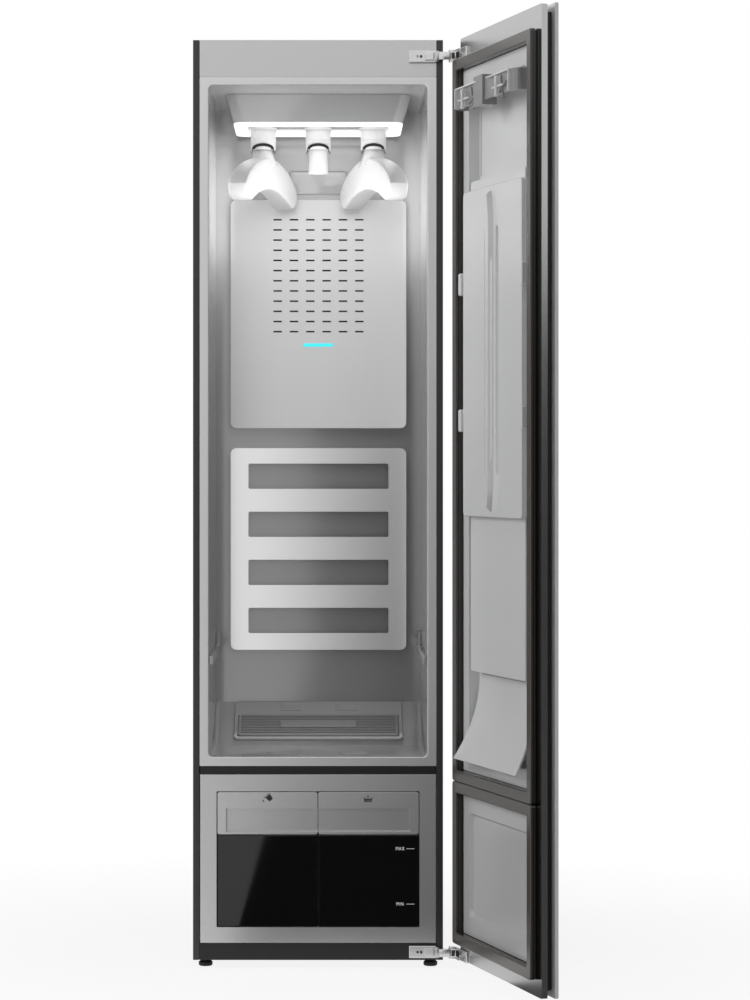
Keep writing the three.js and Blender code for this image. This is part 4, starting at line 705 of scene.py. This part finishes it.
def add_floor_details():
    """Two pale tabs near the head of the sloping floor panel, and two thin discs in front of it."""
    for side, word in SIDES:
        low = Vector((side * TAB_X - TAB_HALF, TAB_FOOT, TAB_SEAT))
        high = Vector((side * TAB_X + TAB_HALF, TAB_HEAD, TAB_SEAT + TAB_THICK))
        tab = eased_box(low * MM, high * MM, TAB_EASE * MM)
        set_on_slope(tab)
        finish_piece(tab, f"floor_tab_{word}", white_tab, "cabinet")
        x, floor = side * MARK_X * MM, SLOPE_FOOT[2]
        disc = turned([
            (MARK_RADIUS, floor), (MARK_RADIUS, floor + MARK_SIDE), (MARK_RADIUS - 1, floor + MARK_THICK),
        ], (x, MARK_Y * MM))
        disc.scale = (MARK_STRETCH, 1, 1)
        disc.location.x = x * (1 - MARK_STRETCH)
        finish_piece(disc, f"floor_mark_{word}", floor_mark, "cabinet")


# Print on the tank fronts, in millimetres

LEVEL_MARKS = (("MAX", 222.5), ("MIN", 111.8))
LEVEL_X = 164
LEVEL_SIZE = 9.5
LEVEL_WIDTH_SHARE = 0.82
LINE_START = 176.5
LINE_END = 192.6
LINE_HALF = 0.4
INK_PROUD = 0.3
INK_EASE = 0.1
ICON_THICK = 0.4
CUP_PLACE = (-97, 324)
CUP_TILT = 40
CUP = ((-6, 5.4), (6, 5.4), (4.2, -5.4), (-4.2, -5.4))
CUP_LIP = ((-9, 7.6), (7, 7.6), (7, 6.2), (-9, 6.2))
CUP_DROP = ((0, 3), (1.6, 0), (0.9, -1.7), (-0.9, -1.7), (-1.6, 0))
CUP_DROP_PLACE = (-109.5, 318)
TUB_PLACE = (100, 322)
TUB = ((-9, 3), (-7, 3), (-5.6, -3.4), (5.6, -3.4), (7, 3), (9, 3), (7.2, -5.6), (-7.2, -5.6))
TUB_WATER = ((-6.2, 0.6), (6.2, 0.6), (5.6, -2.8), (-5.6, -2.8))
TUB_DROP = ((0, 8), (1.8, 4.6), (1, 2.6), (-1, 2.6), (-1.8, 4.6))


def add_level_marks():
    """The highest and lowest water level on the drain tank's window: a word and a line each, in white ink
    with a painted glow.
    """
    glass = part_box("drain_tank_window")[0].y / MM
    for text, z in LEVEL_MARKS:
        word = text.lower()
        mark = words(text, LEVEL_SIZE * MM, Vector((LEVEL_X, glass - INK_PROUD, z)) * MM)
        mark.scale.x = LEVEL_WIDTH_SHARE
        finish_piece(mark, f"print_{word}", white_ink_painted_glow, "drain_tank")
        low = Vector((LINE_START, glass - INK_PROUD, z - LINE_HALF))
        high = Vector((LINE_END, glass, z + LINE_HALF))
        line = eased_box(low * MM, high * MM, INK_EASE * MM, 1)
        finish_piece(line, f"line_{word}", white_ink_painted_glow, "drain_tank")


def ink_shape(name, points, place, turn, tank):
    """A flat printed shape on a tank's front: a plane through [x, z] points, given a little height."""
    deselect()
    bpy.ops.mesh.primitive_circle_add(vertices=len(points), radius=MM, fill_type="NGON")
    obj = bpy.context.object
    for vertex, (x, z) in zip(obj.data.vertices, points):
        vertex.co = (x * MM, z * MM, 0)
    solid = obj.modifiers.new("thick", "SOLIDIFY")
    solid.thickness = ICON_THICK * MM
    solid.offset = 0
    bpy.ops.object.modifier_apply(modifier="thick")
    bpy.ops.object.mode_set(mode="EDIT")
    bpy.ops.mesh.select_all(action="SELECT")
    bpy.ops.mesh.normals_make_consistent(inside=False)
    bpy.ops.object.mode_set(mode="OBJECT")
    x, z = place
    front = Vector((x * MM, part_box(f"{tank}_front")[0].y, z * MM))
    upright = Matrix.Rotation(math.pi / 2, 4, "X")
    obj.matrix_world = Matrix.Translation(front) @ upright @ Matrix.Rotation(math.radians(turn), 4, "Z")
    finish_piece(obj, name, print_ink, tank)


def add_icons():
    """A tilted cup that pours a drop on the supply tank, and a tub under a drop on the drain tank."""
    ink_shape("icon_cup", CUP, CUP_PLACE, CUP_TILT, "supply_tank")
    ink_shape("icon_cup_lip", CUP_LIP, CUP_PLACE, CUP_TILT, "supply_tank")
    ink_shape("icon_cup_drop", CUP_DROP, CUP_DROP_PLACE, 0, "supply_tank")
    ink_shape("icon_tub", TUB, TUB_PLACE, 0, "drain_tank")
    ink_shape("icon_tub_water", TUB_WATER, TUB_PLACE, 0, "drain_tank")
    ink_shape("icon_tub_drop", TUB_DROP, TUB_PLACE, 0, "drain_tank")


# The door's pieces, drawn in millimetres on the closed door and then turned to where the frame has it

door_joint = next(joint for joint in frame["record"]["behaviour"]["joints"] if joint["name"] == "door_swing")
PIVOT = Vector(door_joint["pos_m"])
DOOR_OPEN = math.radians(-door_joint["range_deg"][0])
DOOR_TURN = Matrix.Translation(PIVOT) @ Matrix.Rotation(DOOR_OPEN, 4, "Z") @ Matrix.Translation(-PIVOT)


def door_box(name, low, high, ease, material, tilt=Matrix()):
    """A rounded box given in millimetres on the closed door, tilted there if asked."""
    obj = eased_box(Vector(low) * MM, Vector(high) * MM, ease * MM)
    obj.matrix_world = DOOR_TURN @ tilt
    finish_piece(obj, name, material, "door")


def carve(obj, low, high):
    """Cuts a box, in millimetres, out of a piece on the closed door."""
    cut_away(obj, plain_box(Vector(low) * MM, Vector(high) * MM))


# The door's tray

PAN_HALF = 245
PAN_LOW = 7
PAN_HIGH = 1838
PAN_BACK = -319.2
PAN_RIM = -306.6
GROOVE_DEPTH = 15
GROOVE_OVERRUN = 30
RIM_GAP = 0.2
CORE_HALF = 2
CORE_GAP = 0.3
CORE_END_GAP = 4
CORE_EASE = 0.5


def add_door_pan():
    """The door's steel tray with the finger groove that runs round it behind the front board."""
    pan = copy_of("door_pan")
    pan.data.transform(DOOR_TURN.inverted())
    inner, top, bottom = GROOVE_DEPTH - PAN_HALF, PAN_HIGH - GROOVE_DEPTH, PAN_LOW + GROOVE_DEPTH
    rim = PAN_RIM - RIM_GAP
    left, right = -PAN_HALF - GROOVE_OVERRUN, PAN_HALF + GROOVE_OVERRUN
    back, under, over = PAN_BACK - GROOVE_OVERRUN, PAN_LOW - GROOVE_OVERRUN, PAN_HIGH + GROOVE_OVERRUN
    carve(pan, (left, back, under), (inner, rim, over))
    carve(pan, (left, back, top), (right, rim, over))
    carve(pan, (left, back, under), (right, rim, bottom))
    pan.data.transform(DOOR_TURN)
    pick(pan)
    bpy.ops.object.shade_smooth_by_angle(angle=SHARP)
    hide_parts("door_pan")
    finish_piece(pan, "door_tray", door_steel, "door")


def add_groove_shade_core():
    """The door's core at the bottom of the finger groove, coloured black as painted shade deep in the groove.
    """
    inner, top, bottom = GROOVE_DEPTH - PAN_HALF, PAN_HIGH - GROOVE_DEPTH, PAN_LOW + GROOVE_DEPTH
    back, front, end = PAN_BACK + CORE_GAP, PAN_RIM - CORE_GAP, PAN_HALF - CORE_END_GAP
    for word, low, high in (
            ("side", (inner - CORE_HALF, back, bottom), (inner + CORE_HALF, front, top)),
            ("top", (inner, back, top - CORE_HALF), (end, front, top + CORE_HALF)),
            ("bottom", (inner, back, bottom - CORE_HALF), (end, front, bottom + CORE_HALF))):
        door_box(f"door_groove_shade_{word}", low, high, CORE_EASE, materials["machine_black"])


# The gasket's folds, with painted shade

GASKET_FACE = -275.3
GASKET_DEPTH = 20
FOLD_PAINTED_SHADE = (
    (0, 1), (0.2, 0.95), (0.24, 0.25), (0.34, 0.3), (0.4, 0.5), (0.52, 0.45), (0.58, 0.12), (1, 0.08),
)


def paint_gasket_fold_shade(material):
    """Darkens the gasket in bands along its height, where its folds lie: painted shade deep in the folds."""
    tree = material.node_tree
    out = DOOR_TURN.to_3x3() @ Vector((0, -1, 0))
    face = DOOR_TURN @ Vector((0, GASKET_FACE * MM, 0))
    place = tree.nodes.new("ShaderNodeTexCoord")
    along = tree.nodes.new("ShaderNodeVectorMath")
    along.operation = "DOT_PRODUCT"
    along.inputs[1].default_value = out
    depth = tree.nodes.new("ShaderNodeMapRange")
    depth.inputs["From Min"].default_value = face.dot(out)
    depth.inputs["From Max"].default_value = face.dot(out) + GASKET_DEPTH * MM
    ramp = tree.nodes.new("ShaderNodeValToRGB")
    stops = ramp.color_ramp.elements
    stops[0].position = FOLD_PAINTED_SHADE[0][0]
    stops[1].position = FOLD_PAINTED_SHADE[-1][0]
    for position, _ in FOLD_PAINTED_SHADE[1:-1]:
        stops.new(position)
    for stop, (_, tone) in zip(stops, FOLD_PAINTED_SHADE):
        stop.color = grey(tone)
    tree.links.new(place.outputs["Object"], along.inputs[0])
    tree.links.new(along.outputs["Value"], depth.inputs["Value"])
    tree.links.new(depth.outputs["Result"], ramp.inputs["Fac"])
    tinted(material, ramp.outputs["Color"])


# The press plate

CHANNEL_LEFT = -15
CHANNEL_RIGHT = 60
CHANNEL_LOW = 1005
CHANNEL_HIGH = 1383
CHANNEL_FACE = -278.7
CHANNEL_BED = -285.7
CHANNEL_TIP = 54
CHANNEL_TIP_X = 8
CHANNEL_TIP_SHARE = 0.12
CHANNEL_BED_X = 2
CHANNEL_BED_SHARE = 0.35
CHANNEL_OVERRUN = 6
PLATE_SHARP = math.radians(20)


def channel_cutter():
    """A box drawn out to a narrow tip at both ends, with its bed narrower than its mouth."""
    low = Vector((CHANNEL_LEFT, CHANNEL_BED, CHANNEL_LOW))
    high = Vector((CHANNEL_RIGHT, CHANNEL_FACE + CHANNEL_OVERRUN, CHANNEL_HIGH))
    cutter = plain_box(low * MM, high * MM)
    bpy.ops.object.mode_set(mode="EDIT")
    bpy.ops.mesh.select_mode(type="FACE")
    for way in (-1, 1):
        bpy.ops.mesh.select_all(action="DESELECT")
        bpy.ops.object.mode_set(mode="OBJECT")
        for end in cutter.data.polygons:
            end.select = end.normal.z * way > 0.9
        bpy.ops.object.mode_set(mode="EDIT")
        bpy.ops.mesh.extrude_region_move(TRANSFORM_OT_translate={"value": (0, 0, way * CHANNEL_TIP * MM)})
        bpy.ops.transform.resize(value=(CHANNEL_TIP_SHARE, 1, 1), center_override=(CHANNEL_TIP_X * MM, 0, 0))
    bpy.ops.object.mode_set(mode="OBJECT")
    for vertex in cutter.data.vertices:
        if vertex.co.y < (CHANNEL_BED + 1) * MM:
            bed_x = CHANNEL_BED_X * MM
            vertex.co.x = bed_x + (vertex.co.x - bed_x) * CHANNEL_BED_SHARE
    return cutter


def add_press_plate():
    """The press plate with the long pointed channel pressed into its face."""
    plate = copy_of("press_plate")
    plate.data.transform(DOOR_TURN.inverted())
    cut_away(plate, channel_cutter())
    plate.data.transform(DOOR_TURN)
    pick(plate)
    bpy.ops.object.shade_smooth_by_angle(angle=PLATE_SHARP)
    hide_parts("press_plate")
    finish_piece(plate, "press_face", door_plastic, "press_plate")


# The trouser rail's fine pieces and the door's bead

RAIL_FACE = -258
RAIL_LOW = 1687
RAIL_HIGH = 1727
LIP_FRONT = RAIL_FACE + 1.6
LIP_EASE = 0.6
TOP_LIP_SPAN = (30, 163)
TOP_LIP_TALL = 2.6
TOP_LIP_SINK = 2
END_LIP_SPAN = (161, 164)
END_LIP_SINK = 2.5
CLIP_X = 104
BAR_SPAN = (-34, 30)
BAR_PROUD = (1, 4)
BAR_RISE = (12, 15)
BLADE_HALF = 1.5
BLADE_PROUD = (1.5, 6.5)
BLADE_RISE = (-6, 34)
BLADE_EASE = 0.5
BLADE_LEAN = math.radians(14)
CROSSING_PROUD = 4
CROSSING_RISE = 12
BEAD_HALF = 168
BEAD_TOP = 1752
BEAD_FOOT = 1560
BEAD_DEPTH = -312.4
BEAD_CORNER = 22
BEAD_WIRE = 2.4


def add_rail_lips(side, word):
    """Thin lips along the top and at the end of one half of the trouser rail."""
    left, right = sorted(side * x for x in TOP_LIP_SPAN)
    low, high = (left, RAIL_FACE - TOP_LIP_SINK, RAIL_HIGH - TOP_LIP_TALL), (right, LIP_FRONT, RAIL_HIGH)
    door_box(f"rail_lip_top_{word}", low, high, LIP_EASE, rail_white)
    left, right = sorted(side * x for x in END_LIP_SPAN)
    low, high = (left, RAIL_FACE - END_LIP_SINK, RAIL_LOW), (right, LIP_FRONT, RAIL_HIGH)
    door_box(f"rail_lip_end_{word}", low, high, LIP_EASE, rail_white)


def add_rail_clips(side, word):
    """A bar and a pair of crossed clips on one half of the trouser rail."""
    centre = side * CLIP_X
    low = (centre + BAR_SPAN[0], RAIL_FACE + BAR_PROUD[0], RAIL_LOW + BAR_RISE[0])
    high = (centre + BAR_SPAN[1], RAIL_FACE + BAR_PROUD[1], RAIL_LOW + BAR_RISE[1])
    door_box(f"rail_bar_{word}", low, high, LIP_EASE, rail_white)
    low = (centre - BLADE_HALF, RAIL_FACE + BLADE_PROUD[0], RAIL_LOW + BLADE_RISE[0])
    high = (centre + BLADE_HALF, RAIL_FACE + BLADE_PROUD[1], RAIL_LOW + BLADE_RISE[1])
    crossing = Vector((centre, RAIL_FACE + CROSSING_PROUD, RAIL_LOW + CROSSING_RISE)) * MM
    for i, way in enumerate((-1, 1)):
        lean = Matrix.Rotation(BLADE_LEAN * way, 4, "Y")
        tilt = Matrix.Translation(crossing) @ lean @ Matrix.Translation(-crossing)
        door_box(f"rail_clip_{word}_{i}", low, high, BLADE_EASE, rail_white, tilt)


def add_rail_details():
    for side, word in SIDES:
        add_rail_lips(side, word)
        add_rail_clips(side, word)


def add_door_bead():
    """A raised bead round the top of the door's upper recess."""
    across, up = BEAD_HALF - BEAD_CORNER, BEAD_TOP - BEAD_CORNER
    path = [
        (-BEAD_HALF, BEAD_FOOT), (-BEAD_HALF, up), (-BEAD_HALF, up), (-BEAD_HALF, BEAD_TOP),
        (-across, BEAD_TOP), (-across, BEAD_TOP), (across, BEAD_TOP), (across, BEAD_TOP),
        (BEAD_HALF, BEAD_TOP), (BEAD_HALF, up), (BEAD_HALF, up), (BEAD_HALF, BEAD_FOOT),
    ]
    bead = wire("door_bead", [(x * MM, BEAD_DEPTH * MM, z * MM) for x, z in path], BEAD_WIRE * MM)
    bead.matrix_world = DOOR_TURN
    finish_piece(bead, "door_bead", door_plastic, "door")


# Hinge pieces, in millimetres from the hinge base's left end, its plate and its middle height

PLATE_DEEP = 4.5
HOLE_PROFILE = ((2.4, 0), (2.4, 0.6), (1.6, 0.8))
HOLE_SIDES = 24
HOLE_PLACE = (24, -0.2, 0)
RIVET_PROFILE = ((2.2, 0), (2.2, 3), (1.6, 3.6))
RIVET_SIDES = 20
RIVET_X = 56
RIVET_DEPTH = 1
RIVET_RISE = 8.5
LINK = ((59.5, 80.5), (-10, 4), 7.8, 0.8)
JOINT = ((51.5, 60), (-6, 3), 9.5, 1)
YOKE = ((83, 101), (-9, 4), 8.2, 0.8)
SLOT_STARTS = (84, 92.5)
SLOT_WIDE = 6.8
SLOT_DEPTH = (-9.4, -6)
SLOT_HALF = 6.2
SLOT_EASE = 0.4
ARM_FOOT = ((-6, 0.5), (12, 20), 10, 0.8)


def hinge_stud(name, profile, sides, place, material):
    """A small turned piece that points to the front."""
    stud = turned(profile, (0, 0), sides)
    stud.rotation_euler = (math.pi / 2, 0, 0)
    stud.location = place
    finish_piece(stud, name, material, "cabinet")


def hinge_box(name, start, form, material, body):
    """A rounded box of a hinge: its spans across and in depth from a start, half its height, and its ease."""
    across, depth, half, ease = form
    low = start + Vector((across[0], depth[0], -half)) * MM
    high = start + Vector((across[1], depth[1], half)) * MM
    finish_piece(eased_box(low, high, ease * MM), name, material, body)


def add_hinge_details():
    """The screw, rivets, link, joint, slotted yoke and arm foot of each hinge; the yoke's slots are dark
    marks of painted shade.
    """
    steel, dark = materials["bright_steel"], materials["machine_black"]
    for level in ("bottom", "top"):
        low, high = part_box(f"hinge_base_{level}")
        arm_low, arm_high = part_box(f"hinge_arm_{level}")
        mid = (low.z + high.z) / 2
        start = Vector((low.x, low.y + PLATE_DEEP * MM, mid))
        place = start + Vector(HOLE_PLACE) * MM
        hinge_stud(f"hinge_screw_{level}", HOLE_PROFILE, HOLE_SIDES, place, dark)
        for i, way in enumerate((-1, 1)):
            place = start + Vector((RIVET_X, RIVET_DEPTH, way * RIVET_RISE)) * MM
            hinge_stud(f"hinge_rivet_{level}_{i}", RIVET_PROFILE, RIVET_SIDES, place, steel)
        hinge_box(f"hinge_link_{level}", start, LINK, steel, "cabinet")
        hinge_box(f"hinge_joint_{level}", start, JOINT, joint_steel, "cabinet")
        hinge_box(f"hinge_yoke_{level}", start, YOKE, steel, "door")
        # Painted shade: dark marks on the yoke's face stand for its open slots.
        for i, left in enumerate(SLOT_STARTS):
            form = ((left, left + SLOT_WIDE), SLOT_DEPTH, SLOT_HALF, SLOT_EASE)
            hinge_box(f"hinge_slot_shade_{level}_{i}", start, form, dark, "door")
        arm_start = Vector((arm_high.x, arm_low.y, mid))
        hinge_box(f"hinge_foot_{level}", arm_start, ARM_FOOT, joint_steel, "door")


# Stage: the floor, and dark cards out of the picture that only mirror in glossy faces

FLOOR_SIZE = 40
FADE_NEAR = 0.5
FADE_FAR = 1.6
FADE_SHARE = 0.88
CARD_NEAR = -0.5
CARD_FAR = -10.5
CARD_EDGE_NEAR = -0.178
CARD_EDGE_FAR = -0.05
CARD_REACH = 9
CARD_LIFT = 0.002
FLOOR_CARD_TONE = 0.02
FAR_CARD_TOP = 2
FAR_CARD_TONE = 0.1
SIDE_CARD_ENDS = ((0.9, -5.4), (7.5, -2.6))
SIDE_CARD_TOP = 2.1
SIDE_CARD_TONE = 0.03


def add_stage():
    """A pale floor that looks white to the camera yet keeps the object's shadow."""
    deselect()
    bpy.ops.mesh.primitive_plane_add(size=FLOOR_SIZE, location=(0, 0, cad_box[0].z))
    floor = bpy.context.object
    floor.name = "studio_floor"
    material = grain("studio_floor", 0.85, 0.01, (0.8, 0.9), bump=0.0)
    tree = material.node_tree
    path = tree.nodes.new("ShaderNodeLightPath")
    share = tree.nodes.new("ShaderNodeMath")
    share.operation = "MULTIPLY"
    place = tree.nodes.new("ShaderNodeTexCoord")
    away = tree.nodes.new("ShaderNodeVectorMath")
    away.operation = "LENGTH"
    fade = tree.nodes.new("ShaderNodeMapRange")
    fade.inputs["From Min"].default_value = FADE_NEAR
    fade.inputs["From Max"].default_value = FADE_FAR
    fade.inputs["To Min"].default_value = FADE_SHARE
    fade.inputs["To Max"].default_value = 1
    white = tree.nodes.new("ShaderNodeEmission")
    mix = tree.nodes.new("ShaderNodeMixShader")
    clear = tree.nodes.new("ShaderNodeMath")
    clear.operation = "MAXIMUM"
    seen = tree.nodes.new("ShaderNodeMath")
    seen.operation = "MAXIMUM"
    link = tree.links.new
    link(place.outputs["Object"], away.inputs[0])
    link(away.outputs["Value"], fade.inputs["Value"])
    link(fade.outputs["Result"], share.inputs[1])
    link(path.outputs["Is Glossy Ray"], clear.inputs[0])
    link(path.outputs["Is Transmission Ray"], clear.inputs[1])
    link(path.outputs["Is Camera Ray"], seen.inputs[0])
    link(clear.outputs[0], seen.inputs[1])
    link(seen.outputs[0], share.inputs[0])
    link(share.outputs[0], mix.inputs["Fac"])
    link(tree.nodes["Principled BSDF"].outputs["BSDF"], mix.inputs[1])
    link(white.outputs["Emission"], mix.inputs[2])
    link(mix.outputs["Shader"], tree.nodes["Material Output"].inputs["Surface"])
    floor.data.materials.append(material)


def add_card(name, corners, tone):
    """A card that only glossy faces see."""
    deselect()
    bpy.ops.mesh.primitive_plane_add(size=2, location=(0, 0, 0))
    card = bpy.context.object
    card.name = name
    for vertex, corner in zip(card.data.vertices, corners):
        vertex.co = corner
    card.data.materials.append(grain(name, tone, 0.05, (0.8, 0.9), bump=0.0))
    card.visible_camera = False
    card.visible_diffuse = False
    card.visible_shadow = False


def add_upright_card(name, ends, foot, top, tone):
    """A card that stands between two [x, y] ends."""
    add_card(name, [(x, y, foot) for x, y in ends] + [(x, y, top) for x, y in ends], tone)


def add_cards():
    """One card lies on the floor, one stands at its far end, and one stands to the right."""
    foot = cad_box[0].z + CARD_LIFT
    far_ends = ((CARD_EDGE_FAR, CARD_FAR), (CARD_REACH, CARD_FAR))
    near_corners = [(CARD_EDGE_NEAR, CARD_NEAR, foot), (CARD_REACH, CARD_NEAR, foot)]
    add_card("floor_card", near_corners + [(x, y, foot) for x, y in far_ends], FLOOR_CARD_TONE)
    add_upright_card("far_card", far_ends, foot, FAR_CARD_TOP, FAR_CARD_TONE)
    add_upright_card("side_card", SIDE_CARD_ENDS, foot, SIDE_CARD_TOP, SIDE_CARD_TONE)


# Lights, each as its place, aim, size and power

SOFT_LIGHTS = {
    "side_soft": ((-3.3, -0.68, 2.6), (0.35, -0.55, 1.2), (0.8, 2.4), 66),
    "front_soft": ((2.2, -6.0, 3.0), (0.1, -0.3, 1.1), (2.0, 1.6), 27),
    "top_soft": ((0, -1.2, 4.2), (0, 0, 0.8), (3, 3), 20),
}
LAMP_GAP = 0.004
LAMP_SIZE = (0.3, 0.2)
LAMP_POWER = 0.09
WALL_GLOW_X = (0.18, 0.22)
WALL_GLOW_NEARER = 0.02
WALL_GLOW_DROP = 0.14
WALL_GLOW_SIZE = (0.36, 0.24)
WALL_GLOW_POWER = 0.42
CEILING_GLOW_Y = (-0.22, -0.05)
CEILING_GLOW_DROP = 0.2
CEILING_GLOW_RISE = 0.03
CEILING_GLOW_SIZE = (0.34, 0.1)
CEILING_GLOW_POWER = 0.44
FLOOR_GLOW = ((0, -0.12, 0.66), (0, -0.16, 0.4), (0.3, 0.2), 0.15)
GLOW_NEARER = 0.06
GLOW_DROP = 0.17
GLOW_RADIUS = 0.1
GLOW_POWER = 0.78


def add_area(name, place, aim, size, power):
    """A rectangular light that doesn't show in glossy faces."""
    data = bpy.data.lights.new(name, "AREA")
    data.shape = "RECTANGLE"
    data.size, data.size_y = size
    data.energy = power
    light = bpy.data.objects.new(name, data)
    light.location = place
    direction = Vector(aim) - Vector(place)
    light.rotation_euler = direction.to_track_quat("-Z", "Y").to_euler()
    light.visible_glossy = False
    bpy.context.collection.objects.link(light)


def add_cavity_lights():
    """The lamp's own light, and dim lights for what the bright walls throw back at one another."""
    low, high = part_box("lamp_diffuser")
    middle = (low.y + high.y) / 2
    add_area("cavity_lamp", (0, middle, low.z - LAMP_GAP), (0, middle, 0), LAMP_SIZE, LAMP_POWER)
    y, z = middle - WALL_GLOW_NEARER, low.z - WALL_GLOW_DROP
    for side, word in SIDES:
        start, aim = [(side * x, y, z) for x in WALL_GLOW_X]
        add_area(f"wall_glow_{word}", start, aim, WALL_GLOW_SIZE, WALL_GLOW_POWER)
    start = (0, CEILING_GLOW_Y[0], low.z - CEILING_GLOW_DROP)
    aim = (0, CEILING_GLOW_Y[1], low.z + CEILING_GLOW_RISE)
    add_area("ceiling_glow", start, aim, CEILING_GLOW_SIZE, CEILING_GLOW_POWER)
    add_area("floor_glow", *FLOOR_GLOW)
    glow = bpy.data.lights.new("cavity_glow", "POINT")
    glow.energy = GLOW_POWER
    glow.shadow_soft_size = GLOW_RADIUS
    light = bpy.data.objects.new("cavity_glow", glow)
    light.location = (0, middle - GLOW_NEARER, low.z - GLOW_DROP)
    light.visible_glossy = False
    bpy.context.collection.objects.link(light)


def add_lights():
    for name, setting in SOFT_LIGHTS.items():
        add_area(name, *setting)
    add_cavity_lights()


# The scene, in the order it is built

bpy.context.scene.view_settings.view_transform = "Standard"
add_camera()
add_world()
dress_nodes()
add_nozzles()
add_seals()
add_outlet()
add_duct_cover()
add_slot_shade_sheet()
add_floor_details()
add_level_marks()
add_icons()
paint_gasket_fold_shade(materials["gasket_rubber"])
add_door_pan()
add_groove_shade_core()
add_press_plate()
add_rail_details()
add_door_bead()
add_hinge_details()
add_stage()
add_cards()
add_lights()
